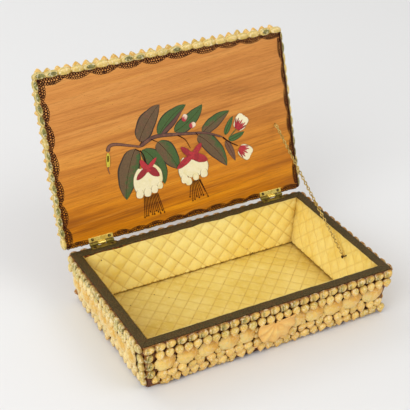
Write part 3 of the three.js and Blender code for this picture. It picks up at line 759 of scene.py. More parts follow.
# the left side's shells take copies of the same finishes, painted lighter
litShells = ("side oval", "pale pointed", "pale whorl", "pale jingle")
longSide = {"half": box["halfLength"], "distance": box["halfDepth"], "ovals": 25, "pointed": 27, "small": 25}
shortSide = {"half": box["halfDepth"], "distance": box["halfLength"], "ovals": 15, "pointed": 17, "small": 15}
sidePlans = {
    "front": {**longSide, "turns": 0, "column": -1, "inset": 3.4, "finishes": agedShells,
              "stand": (5.8, 6.0, 5.2),
              "dishes": [(-104.2, 20.5), (-83.6, 20.5), (-63.4, 19.5), (-43.0, 20.5), (-25.2, 16.5),
                         (26.0, 17), (43.5, 20), (63.0, 21), (83.5, 21), (106.2, 23)]},
    "left": {**shortSide, "turns": -1, "column": 1, "inset": 2.2, "finishes": litShells,
             "stand": (4.4, 6.8, 4.2),
             "dishes": [(-60.5, 21), (-41, 20.5), (-21.5, 20.5), (-2, 20), (17.5, 20.5), (37, 20.5),
                        (54.5, 18)]},
    "right": {**shortSide, "turns": 1, "column": 0, "finishes": agedShells, "stand": (5.8, 6.0, 5.2),
              "dishes": [(-59, 21.5), (-39.5, 20.5), (-20, 20.5), (-0.5, 20.5), (19, 20.5), (39, 20.5),
                         (59, 21.5)]},
    "back": {**longSide, "turns": 2, "column": 0, "finishes": agedShells, "stand": (5.8, 6.0, 5.2),
             "dishes": [(-106 + 21.2 * i, 21.5) for i in range(11)]},
}


def glueBed(side, plan, frameOf):  # a lumpy skin of glue over the wood, under every row
    bm = bmesh.new()
    columns = int(plan["half"] / 1.4)
    bmesh.ops.create_grid(bm, x_segments=columns, y_segments=24, size=0.5)
    for v in bm.verts:
        y = 0.5 + (v.co.y + 0.5) * (box["face"] - 1.6)
        x = v.co.x * 2 * (halfAt(plan["half"], y) - 0.5)
        v.co = (x, y, 0.75 + 0.55 * noise.noise(Vector((x * 0.35, y * 0.35, plan["turns"]))))
    skirt = bmesh.ops.extrude_face_region(bm, geom=bm.faces[:])["geom"]
    for v in skirt:
        if isinstance(v, bmesh.types.BMVert):
            v.co.z = 0.05
    bmesh.ops.recalc_face_normals(bm, faces=bm.faces[:])
    bmesh.ops.transform(bm, matrix=frameOf, verts=bm.verts[:])
    addPiece(side + "_glue_bed", bm, "glue", "box")


def placeRow(name, bm, matrix, finish, body, replaced):
    bmesh.ops.transform(bm, matrix=matrix, verts=bm.verts[:])
    return addPiece(name, bm, finish, body, replaced)


# shells stacked up a corner: the width that they take, their size, and their heights
cornerStack = {"column": 9.0, "shell": (8.8, 9.6, 4.4), "front": (36.8, 27.0, 17.4),
               "left": (36.4, 26.6, 17.0, 7.6), "lowest": (-112.2, 10.6)}


def shellSide(side):
    plan = sidePlans[side]
    frameOf = sideFrame(plan["turns"], plan["distance"])
    glueBed(side, plan, frameOf)
    column = cornerStack["column"]
    oval, point, whorl, jingle = plan["finishes"]

    def ends(height):
        reach = halfAt(plan["half"], height) - 0.4
        return -reach - 0.8 + column * (plan["column"] < 0), reach + 0.8 - column * (plan["column"] > 0)

    ovals = shellMesh()
    reach = halfAt(plan["half"], rowHeights["oval"][0])
    turned = 180.0 if side == "left" else 0.0
    ovalRow(ovals, -reach - 0.6, reach + 0.6, *rowHeights["oval"], plan["ovals"], 0.35, turned)
    placeRow(side + "_oval_row", ovals, frameOf, oval, "box", [side + "_oval_shells"])

    if plan["column"]:
        stack = shellMesh()
        for i, y in enumerate(cornerStack[side]):
            x = plan["column"] * (halfAt(plan["half"], y) - plan["inset"])
            place = sized(x, y, bedOut, *cornerStack["shell"], 14 * plan["column"])
            stamp(stack, shapes["oval"][i % 4], place, 0.9)
        if side == "front":  # the lowest one is plain and round, over bare wood at the foot
            place = sized(*cornerStack["lowest"], bedOut, 8.2, 8.4, 5.0, 190)
            stamp(stack, shapes["whorl"][0], place, 0.3)
        placeRow(side + "_corner_stack", stack, frameOf, oval, "box", [side + "_corner_shells"])

    dishes = shellMesh()
    dishRow(dishes, plan["dishes"], *rowHeights["dish"], plan["stand"][1])
    halves = ["_left", "_right"] if side == "front" else [""]
    nodes = [side + "_jingle_shells" + half for half in halves]
    placeRow(side + "_jingle_row", dishes, frameOf, jingle, "box", nodes)

    pointed = shellMesh()
    first, last = ends(rowHeights["pointed"][0])
    pointedRow(pointed, first, last, *rowHeights["pointed"], plan["pointed"], plan["stand"][0])
    placeRow(side + "_pointed_row", pointed, frameOf, point, "box", [side + "_pointed_shells"])

    lower = shellMesh()
    first, last = ends(8)
    for y, height, shift in ((13.8, 10.0, 0.0), (6.6, 9.4, 0.5)):  # pointed and whorled ones, mixed
        places, pitch = spread(first, last, plan["small"])
        for x in places:
            kind = "pointed" if seeds.random() < 0.6 else "whorl"
            shape = pick(kind)
            place = sized(near(x + shift * pitch * 0.8, 0.7), near(y, 0.8), bedOut, pitch * near(1.06, 0.12),
                          height * near(1.04, 0.12), near(plan["stand"][2], 0.9), near(0, 20), near(-7, 8))
            stamp(lower, shape, place, seeds.random())
    for x in spread(first + 1, last - 1, plan["small"])[0]:  # low ones at the foot
        if seeds.random() < 0.75:
            shape = pick("oval")
            place = sized(near(x, 1.2), near(3.2, 0.4), bedOut, 6.2, 4.4, 3.0, near(5, 12))
            stamp(lower, shape, place, 0.95)
    for (x0, w0), (x1, w1) in zip(plan["dishes"], plan["dishes"][1:]):  # small ones between the jingles
        middle = (x0 + w0 / 2 + x1 - w1 / 2) / 2
        for y, size in ((20.6, 7.2), (19.0, 6.0)):
            if x1 - x0 < 30:
                shape = pick("whorl")
                place = sized(near(middle, 1.6), near(y, 0.6), bedOut, size, size * 1.1, 4.2, near(0, 50))
                stamp(lower, shape, place, seeds.random())
    if side == "front":
        for y, size in ((29.5, 6.0), (23.0, 6.6)):  # two small ones beside the fan shell
            place = sized(-15.6, y, bedOut, size, size * 1.1, 4.4, near(0, 40))
            stamp(lower, shapes["whorl"][1], place, 0.4)
    placeRow(side + "_lower_rows", lower, frameOf, whorl, "box", [side + "_lower_shells"])

    if side == "front":  # the fan shell, in the middle of the row of jingles
        placeRow("front_fan_shell", fanPiece(), frameOf, "fan", "box", ["front_scallop"])


for side in sidePlans:
    shellSide(side)
print("shells set on the box")


# the four walls, mitred, their edges worn round and a little uneven
wallWear = {"bevel": 0.55, "steps": 70, "chip": 0.22, "mitre": 0.02}


def wallPiece(side):
    plan = sidePlans[side]
    bm = bmesh.new()
    bmesh.ops.create_cube(bm, size=2)
    for v in bm.verts:
        x, outer, top = v.co.x, v.co.y < 0, v.co.z > 0
        inset = 0 if outer else box["wall"]
        inward = 0 if top else box["taper"]
        along = plan["half"] - wallWear["mitre"] - inset - inward
        v.co = (x * along, inset + inward - plan["distance"], box["height"] if top else 0)
    bmesh.ops.bevel(bm, geom=bm.edges[:], offset=wallWear["bevel"], segments=3, profile=0.5, affect="EDGES",
                    material=-1)
    longWays = [e for e in bm.edges if abs(e.verts[0].co.x - e.verts[1].co.x) > plan["half"]]
    bmesh.ops.subdivide_edges(bm, edges=longWays, cuts=wallWear["steps"])
    for v in bm.verts:
        ripple = noise.noise(v.co * 0.12) + 0.6 * noise.noise(v.co * 0.5)
        if v.co.z > 1:
            v.co += Vector((0, ripple, ripple)) * wallWear["chip"]
    place = turnAbout("Z", 90 * plan["turns"]) @ Matrix.Scale(mm, 4)
    bmesh.ops.transform(bm, matrix=place, verts=bm.verts[:])
    addPiece(side + "_rim_wall", bm, "rim", "box", [side + "_wall"])


for side in sidePlans:
    wallPiece(side)

bottom = frame["nodes"]["base_board"]
bottom.data.materials.clear()
bottom.data.materials.append(finishes["board"])
print("walls made")

# The quilted lining: thin vinyl over wadding, sewn in diamonds, glued to the wood
quilt = {"pitch": 12.0, "puff": 1.3, "soft": 2.3, "stitch": 0.6, "cell": 0.8, "foot": 5.2, "wrinkle": 0.3}


def seamDistance(value):
    return abs((value / quilt["pitch"] + 0.5) % 1 - 0.5) * quilt["pitch"]


def quilting(x, y):  # height of the puffed diamonds, from 0 in a seam, and how near a seam is
    first, second = seamDistance((x + y) * math.sqrt(0.5)), seamDistance((x - y) * math.sqrt(0.5))
    puffed = (1 - math.exp(-first / quilt["soft"])) * (1 - math.exp(-second / quilt["soft"]))
    stitch = max(math.exp(-(first / quilt["stitch"]) ** 2), math.exp(-(second / quilt["stitch"]) ** 2))
    return puffed * quilt["puff"], stitch


def padPiece(name, width, height, shape, frameOf, finish):
    bm = bmesh.new()
    crease = bm.verts.layers.float.new("crease")
    shade = bm.verts.layers.float.new("shade")
    columns, rows = int(width / quilt["cell"]), int(height / quilt["cell"])
    bmesh.ops.create_grid(bm, x_segments=columns, y_segments=rows, size=0.5)
    for v in bm.verts:
        place, v[crease], v[shade] = shape(v.co.x, v.co.y + 0.5)
        v.co = place
    skirt = bmesh.ops.extrude_face_region(bm, geom=bm.faces[:])["geom"]
    for v in skirt:
        if isinstance(v, bmesh.types.BMVert):
            v.co.z = shape.back
    bmesh.ops.recalc_face_normals(bm, faces=bm.faces[:])
    bmesh.ops.transform(bm, matrix=frameOf, verts=bm.verts[:])
    pad = addPiece(name + "_quilt", bm, finish, "box", [name + "_lining"])


def rounding(distance, reach):  # 0 at an edge, 1 further in than reach
    t = min(1.0, max(0.0, distance / reach))
    return math.sqrt(1 - (1 - t) ** 2)


class WallPad:  # x across the wall, y up it; the lining stands out towards the inside
    def __init__(self, side):
        self.plan = sidePlans[side]
        self.low = (box["padTop"] + (0.1 if side == "right" else -0.6)) / math.cos(box["tilt"])
        self.torn = 2.2 if side == "back" else 0.5
        self.high = box["face"] - 1.5
        self.loose = {"right": 1.0, "left": 0.3}.get(side, 0.0)
        self.back = -(box["wall"] + 0.15)

    def __call__(self, across, up):
        y = self.low + up * (self.high - self.low)
        ragged = 0.4 + across + noise.noise(Vector((across * 13, 2, self.plan["turns"])))
        y -= self.torn * up ** 4 * max(0, ragged)
        half = halfAt(self.plan["half"], y) - box["wall"] - 0.3
        swell = 0.5 + (quilt["foot"] - 0.5) * (1 - up) ** 0.8
        x = across * 2 * half
        inside = half - abs(x)
        topRound = rounding(self.high - y, 6)
        puffed, stitch = quilting(x + 40 * self.plan["turns"], y)
        fold = noise.noise(Vector((x * 0.16, y * 0.04, 3 + self.plan["turns"])))
        fold += 0.5 * noise.noise(Vector((x * 0.4, y * 0.12, 9)))
        swing = 1 + 2.2 * self.loose
        thick = 0.3 + (swell - 0.3) * (0.5 + 0.5 * topRound) + puffed * (1 - 0.35 * self.loose) * topRound
        thick += fold * quilt["wrinkle"] * swing * topRound * min(1, 5 * up)
        corner = max(0.0, swell + 0.6 - inside)  # the next wall's pad begins here
        thick -= corner * 0.4
        # painted shade for the shade attribute: darker near the side corners and the top edge, and over the
        # whole left wall, which faces away from the light
        near = math.exp(-max(0, inside - swell) / 5) * 0.55 + math.exp(-(self.high - y) / 2.5) * 0.4
        near += 0.95 * (self.plan["turns"] == -1)
        dotted = noise.noise(Vector((x * 0.4, 5, self.plan["turns"]))) > 0.05
        stitch = max(stitch, math.exp(-max(0, y - self.low - 0.8) / 0.5) * dotted)
        return (x, y, self.back - max(0.2, thick)), stitch * (1 - 0.3 * self.loose), min(1, near)


class FloorPad:
    def __init__(self):
        self.back = box["padStart"] + 0.1
        inner = box["wall"] + 0.7 + box["slope"] * (box["height"] - box["padTop"])
        self.halfX, self.halfY = box["halfLength"] - inner, box["halfDepth"] - inner

    def __call__(self, across, up):
        x, y = across * 2 * self.halfX, (up - 0.5) * 2 * self.halfY
        puffed, stitch = quilting(x, y)
        nearX, nearY = self.halfX - abs(x) - quilt["foot"], self.halfY - abs(y) - quilt["foot"]
        edge = rounding(min(nearX, nearY) + 1.5, 3)
        fold = noise.noise(Vector((x * 0.05, y * 0.09, 1)))
        high = box["padTop"] - 0.9 + 0.5 * edge + 0.5 * puffed + fold * quilt["wrinkle"]
        # painted shade for the shade attribute: darker along the walls and over the left half of the floor
        near = math.exp(-max(0, nearX) / 9) * 0.5 + math.exp(-max(0, nearY) / 5) * 0.3 + 0.5 * max(0, -across)
        return (x, y, high), stitch, near


for side in sidePlans:
    pad = WallPad(side)
    plan = sidePlans[side]
    frameOf = sideFrame(plan["turns"], plan["distance"])
    padPiece(side, 2 * plan["half"], pad.high - pad.low, pad, frameOf, "wall pad")
floorPad = FloorPad()
padPiece("floor", 2 * floorPad.halfX, 2 * floorPad.halfY, floorPad, Matrix.Scale(mm, 4), "floor pad")
print("lining made")

# the lid board, drawn shut
board = {"bevel": 0.5}


def lidBoard():
    bm = bmesh.new()
    bmesh.ops.create_cube(bm, size=1)
    bmesh.ops.scale(bm, vec=(lid["length"], lid["depth"], lid["thick"]), verts=bm.verts[:])
    middle = (0, -lid["setBack"] - lid["depth"] / 2, lid["lift"] + lid["thick"] / 2)
    bmesh.ops.translate(bm, vec=middle, verts=bm.verts[:])
    bmesh.ops.bevel(bm, geom=bm.edges[:], offset=board["bevel"], segments=3, profile=0.5, affect="EDGES",
                    material=-1)
    bmesh.ops.transform(bm, matrix=lidFrame(), verts=bm.verts[:])
    addPiece("lid_panel", bm, "lid", "lid", ["lid_board"])


lidBoard()

# shells on the lid's edges and on its outer face
edgeMiddle = lid["lift"] + lid["thick"] / 2
lidTop = lid["lift"] + lid["thick"]


lidEdges = {
    "front": {"turns": 0, "length": lid["length"] + 6, "distance": lid["depth"] / 2, "height": edgeMiddle,
              "count": 21, "size": 8.8, "out": 6.2, "turned": 90, "green": 0.25},
    "left": {"turns": -1, "length": lid["depth"], "distance": lid["length"] / 2, "height": edgeMiddle,
             "count": 15, "size": 8.0, "out": 4.6, "turned": 90, "green": 1.0},
    "right": {"turns": 1, "length": lid["depth"], "distance": lid["length"] / 2, "height": edgeMiddle,
              "count": 15, "size": 7.6, "out": 3.4, "turned": 90, "green": 0.8},
    "back": {"turns": 2, "length": lid["length"] - 2, "distance": lid["depth"] / 2, "height": lidTop - 2.6,
             "count": 22, "size": 4.4, "out": 1.9, "turned": 0, "green": 0.1},
}


def lidEdgeRow(side):
    plan = lidEdges[side]
    row = shellMesh()
    half = plan["length"] / 2
    ovalRow(row, -half, half, 0.2, plan["size"], plan["count"], plan["green"], plan["turned"], plan["out"],
            0.1, 1.24)
    frameOf = lidEdge(plan["turns"], plan["distance"], plan["height"])
    nodes = ["lid_" + side + "_edge_shells"]
    placeRow("lid_" + side + "_edge_row", row, frameOf, "edge oval", "lid", nodes)


for side in lidEdges:
    lidEdgeRow(side)


def lidOuter(quarterTurns, distance):  # on the lid's outer face, y towards its middle, z outwards
    middle = lidFrame() @ move(0, -lid["setBack"] - lid["depth"] / 2, lidTop)
    return middle @ turnAbout("Z", 90 * quarterTurns) @ move(0, -distance, 0)


def borderRow(side, turns, length, distance, count, y):
    row = shellMesh()
    pointedRow(row, -length / 2, length / 2, y, 13.5, count, 5.4, kind="blunt", wider=1.25)
    nodes = ["lid_" + side + "_border_shells"]
    frameOf = lidOuter(turns, distance)
    placeRow("lid_" + side + "_border_row", row, frameOf, "border", "lid", nodes)


borderRow("front", 0, lid["length"], lid["depth"] / 2, 27, -2.4)
borderRow("back", 2, lid["length"], lid["depth"] / 2 - 3.5, 27, 0.6)
borderRow("left", -1, lid["depth"] - 18, lid["length"] / 2, 16, 2.0)
borderRow("right", 1, lid["depth"] - 18, lid["length"] / 2, 16, 1.2)

rosette = {"dishes": 9, "radius": 33, "dish": (22, 20), "whorls": 12, "inner": 18.5}


def rosettePiece():
    row = shellMesh()
    for i in range(rosette["dishes"]):
        around = turnAbout("Z", 360 * i / rosette["dishes"])
        place = around @ sized(0, rosette["radius"], bedOut, *rosette["dish"], 5, near(0, 12))
        stamp(row, shapes["dish"][i], place, seeds.random())
    placeRow("lid_rosette_dishes", row, lidOuter(0, 0), "jingle", "lid", ["lid_rosette_shells"])
    ring = shellMesh()
    for i in range(rosette["whorls"]):
        around = turnAbout("Z", 360 * (i + 0.5) / rosette["whorls"])
        shape = pick("whorl")
        place = around @ sized(0, rosette["inner"], 1.2, 8.6, 12, 5.6, 180)
        stamp(ring, shape, place, seeds.random())
    placeRow("lid_rosette_whorls", ring, lidOuter(0, 0), "whorl", "lid", [])
    centre = fanPiece()
    bmesh.ops.translate(centre, vec=(0, 10.5 - fan["beak"][1], 0.5), verts=centre.verts[:])
    placeRow("lid_rosette_fan", centre, lidOuter(0, 0), "fan", "lid", [])


rosettePiece()
print("lid shells set")

# the two butt hinges
leaf = {"length": 24.5, "middle": 92.3, "far": 6.2, "near": 1.75, "under": 1.7, "thick": 0.8, "bevel": 0.22,
        "barrel": 1.5, "pin": 0.6, "screwOut": 8.6, "screwIn": 4.2, "screw": 1.55}


def boxBetween(bm, low, high):
    fresh = bmesh.ops.create_cube(bm, size=1)["verts"]
    bmesh.ops.scale(bm, vec=[h - l for l, h in zip(low, high)], verts=fresh)
    bmesh.ops.translate(bm, vec=[(h + l) / 2 for l, h in zip(low, high)], verts=fresh)
    return fresh


def rodAlong(bm, first, last, radius, segments=24):
    fresh = bmesh.ops.create_cone(bm, cap_ends=True, segments=segments, radius1=radius, radius2=radius,
                                  depth=last - first)["verts"]
    bmesh.ops.rotate(bm, matrix=Matrix.Rotation(math.radians(90), 3, "Y"), verts=fresh)
    bmesh.ops.translate(bm, vec=((first + last) / 2, 0, 0), verts=fresh)
    return fresh


def softened(bm, width):
    sharp = [e for e in bm.edges if len(e.link_faces) == 2 and e.calc_face_angle() > 0.6]
    bmesh.ops.bevel(bm, geom=sharp, offset=width, segments=2, profile=0.5, affect="EDGES", material=-1)


def hingeLeaf(name, knuckles, frameOf, finish, body, node):
    bm = bmesh.new()
    half, third = leaf["length"] / 2, leaf["length"] / 3
    low, high = -leaf["under"], -leaf["under"] + leaf["thick"]
    boxBetween(bm, (-half, -leaf["far"], low), (half, -leaf["near"], high))
    for k in knuckles:
        first, last = (k - 0.5) * third + 0.15, (k + 0.5) * third - 0.15
        rodAlong(bm, first, last, leaf["barrel"])
        boxBetween(bm, (first, -leaf["near"] - 0.3, low), (last, -0.2, high))
    softened(bm, leaf["bevel"])
    bmesh.ops.transform(bm, matrix=frameOf, verts=bm.verts[:])
    addPiece(name, bm, finish, body, [node], False)


slot = {"half": 0.2, "short": 0.2, "deep": 0.35}


def hingeScrew(name, frameOf, x, body, node, angle):  # a countersunk head with a slot across it
    bm = bmesh.new()
    r = leaf["screw"]
    bmesh.ops.create_circle(bm, cap_ends=True, segments=28, radius=r)
    for width, height in ((0.16, 0.12), (0.5, 0.16), (0.5, 0.03)):
        centre = max(bm.faces, key=lambda face: face.calc_area() if len(face.verts) > 4 else 0)
        bmesh.ops.inset_region(bm, faces=[centre], thickness=width, use_boundary=True)
        bmesh.ops.translate(bm, vec=(0, 0, height), verts=centre.verts[:])
    for y in (slot["half"], -slot["half"]):
        parts = bm.verts[:] + bm.edges[:] + bm.faces[:]
        bmesh.ops.bisect_plane(bm, geom=parts, plane_co=(0, y, 0), plane_no=(0, 1, 0))
    middles = {face: face.calc_center_median() for face in bm.faces}
    cut = [face for face, at in middles.items() if abs(at.y) < slot["half"] and at.length < r - slot["short"]]
    deep = bmesh.ops.extrude_face_region(bm, geom=cut)["geom"]
    sunk = [v for v in deep if isinstance(v, bmesh.types.BMVert)]
    bmesh.ops.translate(bm, vec=(0, 0, -slot["deep"]), verts=sunk)
    bmesh.ops.delete(bm, geom=cut, context="FACES")
    top = -leaf["under"] + leaf["thick"]
    place = frameOf @ move(x, -leaf["screwIn"], top - 0.02) @ turnAbout("Z", angle)
    bmesh.ops.transform(bm, matrix=place, verts=bm.verts[:])
    addPiece(name, bm, "screw", body, [node])


def hingePair(side, x):
    boxFrame = Matrix.Translation(axisPlace) @ Matrix.Scale(mm, 4) @ move(x, 0, 0)
    lidSide = lidFrame() @ move(x, 0, 0) @ turnAbout("Y", 180)
    hingeLeaf(side + "_box_plate", (-1, 1), boxFrame, "dull brass", "box", side + "_hinge_box_leaf")
    hingeLeaf(side + "_lid_plate", (0,), lidSide, "bright brass", "lid", side + "_hinge_lid_leaf")
    pin = bmesh.new()
    rodAlong(pin, -leaf["length"] / 2 - 0.1, leaf["length"] / 2 + 0.1, leaf["pin"])
    bmesh.ops.transform(pin, matrix=boxFrame, verts=pin.verts[:])
    addPiece(side + "_hinge_rod", pin, "dull brass", "box", [side + "_hinge_pin"])
    for number, x in (("1", -leaf["screwOut"]), ("2", leaf["screwOut"])):
        for body, frameOf in (("box", boxFrame), ("lid", lidSide)):
            node = side + "_hinge_" + body + "_screw_" + number
            name = side + "_" + body + "_slot_" + number
            hingeScrew(name, frameOf, x, body, node, seeds.uniform(0, 180))


hingePair("left", -leaf["middle"])
hingePair("right", leaf["middle"])
print("hinges made")

# screw eye in the lid, nail in the right wall, and the chain between them
stay = {"eye": (106.4, -70.1, -0.8), "ring": 1.9, "wire": 0.45, "nail": (109.2, -26.5, 37.0), "link": 4.0,
        "width": 3.2, "chainWire": 0.52, "pitch": 3.0, "sag": 0.8,
        "nailShank": (107.0, 119.2, 0.6), "nailHead": (106.8, 107.5, 1.5)}  # from, to and radius


def wireRing(name, length, width, wire, around=20, sides=8):  # one ring or link, long in x, lying flat
    bm = bmesh.new()
    bmesh.ops.create_circle(bm, segments=sides, radius=wire)
    bmesh.ops.rotate(bm, matrix=Matrix.Rotation(math.radians(90), 3, "X"), verts=bm.verts[:])
    inner = width / 2 - wire
    bmesh.ops.translate(bm, vec=(inner, 0, 0), verts=bm.verts[:])
    bmesh.ops.spin(bm, geom=bm.verts[:] + bm.edges[:], cent=(0, 0, 0), axis=(0, 0, 1), angle=2 * math.pi,
                   steps=around, use_merge=True)
    bmesh.ops.remove_doubles(bm, verts=bm.verts[:], dist=0.0005)
    stretch = (length - width) / 2
    for v in bm.verts:
        v.co.x += max(-stretch, min(stretch, v.co.x * 4))
    bmesh.ops.recalc_face_normals(bm, faces=bm.faces[:])
    mesh = bpy.data.meshes.new(name)
    bm.to_mesh(mesh)
    bm.free()
    return mesh


def eyePiece():
    ring = wireRing("eye ring", stay["ring"] * 2 + 0.9, stay["ring"] * 2 + 0.9, stay["wire"], 32, 12)
    bm = bmesh.new()
    bm.from_mesh(ring)
    x, y, z = stay["eye"]
    bmesh.ops.rotate(bm, matrix=Matrix.Rotation(math.radians(90), 3, "Y"), verts=bm.verts[:])
    bmesh.ops.translate(bm, vec=(x, y, z), verts=bm.verts[:])
    shank = bmesh.ops.create_cone(bm, cap_ends=True, segments=16, radius1=stay["wire"],
                                  radius2=stay["wire"], depth=2.2)["verts"]
    bmesh.ops.translate(bm, vec=(x, y, z + stay["ring"] + 0.9), verts=shank)
    bmesh.ops.transform(bm, matrix=lidFrame(), verts=bm.verts[:])
    addPiece("eye_ring", bm, "chain", "lid", ["chain_eye"])


def nailPiece():
    bm = bmesh.new()
    y, z = stay["nail"][1:]
    rodAlong(bm, *stay["nailShank"], 16)
    rodAlong(bm, *stay["nailHead"], 24)
    softened(bm, 0.18)
    bmesh.ops.translate(bm, vec=(0, y, z), verts=bm.verts[:])
    bmesh.ops.transform(bm, matrix=Matrix.Scale(mm, 4), verts=bm.verts[:])
    addPiece("nail_head", bm, "nail", "box", ["chain_nail"])


def chainPiece():
    link = wireRing("chain link", stay["link"], stay["width"], stay["chainWire"])
    start = lidFrame() @ Vector((stay["eye"][0], stay["eye"][1], stay["eye"][2] - stay["ring"]))
    end = Vector((stay["nail"][0] - 0.6, stay["nail"][1] + 0.4, stay["nail"][2] + 0.6)) * mm
    reach = (end - start).length
    count = round(reach / mm / stay["pitch"])
    bm = bmesh.new()
    for i in range(count):
        t = (i + 0.5) / count
        ahead = end - start
        droop = Vector((0, 0, -4 * stay["sag"] * t * (1 - t) * mm))
        slope = ahead + Vector((0, 0, -4 * stay["sag"] * (1 - 2 * t) * mm))
        upright = slope.to_track_quat("X", "Z").to_matrix().to_4x4()
        before = len(bm.verts)
        bm.from_mesh(link)
        bm.verts.ensure_lookup_table()
        place = Matrix.Translation(start + ahead * t + droop) @ upright
        place = place @ turnAbout("X", 45 + 90 * (i % 2) + seeds.uniform(-9, 9)) @ Matrix.Scale(mm, 4)
        bmesh.ops.transform(bm, matrix=place, verts=bm.verts[before:])
    chain = addPiece("chain_links", bm, "chain", None, ["stay_chain"])
    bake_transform(chain, "lid", "box", start, end)


eyePiece()
nailPiece()
chainPiece()
print("chain made")

# the lace border, small pen rings drawn close together in scallops
lace = {"level": 0.1, "ring": 2.9, "hole": 0.27, "pitch": 2.6, "rise": 2.1, "valley": 2.2}


def ringShape():
    bm = bmesh.new()
    bmesh.ops.create_circle(bm, cap_ends=True, segments=12, radius=0.5)
    bmesh.ops.inset_region(bm, faces=bm.faces[:], thickness=0.5 - lace["hole"], use_boundary=True)
    bmesh.ops.delete(bm, geom=[max(bm.faces, key=lambda face: len(face.verts))], context="FACES")
    mesh = bpy.data.meshes.new("ring shape")
    bm.to_mesh(mesh)
    bm.free()
    return mesh


def laceEdge(bm, ring, matrix, length, scallops, gaps=()):
    middles = [place for place, depth in scallops]
    cuts = [0] + [(a + b) / 2 for a, b in zip(middles, middles[1:])] + [length]

    def reach(x):  # how far the lace comes in at a place along the edge
        i = max(k for k in range(len(middles)) if x >= cuts[k] or k == 0)
        t = min(1.0, max(0.0, (x - cuts[i]) / (cuts[i + 1] - cuts[i])))
        return lace["valley"] + (scallops[i][1] - lace["valley"]) * math.sin(math.pi * t) ** 0.75

    rows = int(max(depth for place, depth in scallops) / lace["rise"]) + 1
    for row in range(rows):
        y = 0.75 + row * lace["rise"]
        for k in range(int(length / lace["pitch"])):
            x = (k + 0.5 + 0.5 * (row % 2)) * lace["pitch"]
            if y > reach(x) - 1.6 or any(low < x < high for low, high in gaps) or x > length - 0.8:
                continue
            size = lace["ring"] * near(1.0, 0.14)
            level = lace["level"] + 0.01 * (k % 3)
            place = sized(near(x, 0.2), near(y, 0.2), level, size, size, 1, near(0, 90))
            drawRing(bm, ring, matrix @ place)
    x = 0.8
    while x < length - 0.8:
        if not any(low < x < high for low, high in gaps):
            size = lace["ring"] * near(0.92, 0.1)
            place = sized(x, max(0.9, reach(x) - 1.3), lace["level"] + 0.04, size, size, 1)
            drawRing(bm, ring, matrix @ place)
        steep = abs(reach(x + 0.2) - reach(x - 0.2)) / 0.4
        x += 2.3 / math.sqrt(1 + steep * steep)


def drawRing(bm, ring, matrix):
    before = len(bm.verts)
    bm.from_mesh(ring)
    bm.verts.ensure_lookup_table()
    bmesh.ops.transform(bm, matrix=matrix, verts=bm.verts[before:])


# the scallops of each edge, as a middle along it and a depth, and where the hinges leave it bare
scallops = {
    "top": [(12.9, 7.0), (37, 6.2), (64, 6.6), (90, 6.0), (114, 6.4), (141, 6.0), (169.5, 6.4), (195, 5.6),
            (218, 5.6), (243, 5.4)],
    "left": [(10, 6.2), (29, 6.4), (52, 6.8), (78, 6.4), (105, 6.6), (127, 6.6), (149, 7.2)],
    "right": [(19, 5.6), (41, 5.0), (66, 5.2), (94, 5.2), (115, 5.4), (140, 5.4)],
    "bottom": [(13.7, 4.6), (34, 5), (56.7, 5.4), (71.7, 4.6), (90.4, 5.0), (111, 5.2), (133.7, 5.4),
               (157.4, 5.2), (179.5, 5.4), (199.5, 5.0), (219, 5), (241, 5.4)],
}
hingeGaps = [(21.5, 46.5), (206, 231)]


def lacePiece():
    ring = ringShape()
    bm = bmesh.new()
    long, high = lid["length"], lid["depth"]
    flip = Matrix.Diagonal((1, -1, 1, 1))
    laceEdge(bm, ring, move(-long / 2, high, 0) @ flip, long, scallops["top"])
    laceEdge(bm, ring, move(-long / 2, high, 0) @ turnAbout("Z", -90), high, scallops["left"])
    laceEdge(bm, ring, move(long / 2, high, 0) @ turnAbout("Z", -90) @ flip, high, scallops["right"])
    laceEdge(bm, ring, move(-long / 2, 0, 0), long, scallops["bottom"], hingeGaps)
    bmesh.ops.transform(bm, matrix=lidInside(), verts=bm.verts[:])
    addPiece("lid_lace", bm, "ink", "lid")
    edge = bmesh.new()
    for x, y, wide, tall in ((0, high - 0.7, long - 1, 0.5), (-long / 2 + 0.8, high / 2, 0.6, high - 1),
                             (long / 2 - 0.9, high / 2, 0.9, high - 1)):
        place = move(x, y, 0.06) @ Matrix.Diagonal((wide, tall, 1, 1))
        bmesh.ops.create_grid(edge, x_segments=2, y_segments=2, size=0.5, matrix=place)
    bmesh.ops.transform(edge, matrix=lidInside(), verts=edge.verts[:])
    addPiece("lid_ink_edge", edge, "ink", "lid")


lacePiece()
print("lace drawn")

# the painted sprig: every leaf, petal and line is one stroke, in millimetres from the middle
# of the lid's hinge edge
outlines = {
    "leaf": lambda t: math.sin(math.pi * t ** 0.78) ** 0.85 * (1 - 0.25 * t ** 5),
    "petal": lambda t: math.sqrt(max(0, 1 - (2 * t - 1) ** 2)) * (0.85 + 0.15 * t),
    "lobe": lambda t: math.sin(math.pi * min(1, 0.12 + 0.88 * t ** 1.3)) ** 0.5 if t < 1 else 0,
    "sepal": lambda t: math.sin(math.pi * (0.1 + 0.9 * t)) ** 0.8,
    "line": lambda t: (1 - 0.55 * t) * min(1, 14 * t + 0.3, 14 * (1 - t) + 0.3),
}
strokes = {}


def throughPoints(points, t):  # a smooth line through the points
    spans = len(points) - 1
    i = min(spans - 1, int(t * spans))
    u = t * spans - i
    p = [Vector(points[max(0, min(spans, i + k))]) for k in (-1, 0, 1, 2)]
    return 0.5 * (2 * p[1] + (p[2] - p[0]) * u + (2 * p[0] - 5 * p[1] + 4 * p[2] - p[3]) * u * u
                  + (3 * p[1] - p[0] - 3 * p[2] + p[3]) * u * u * u)


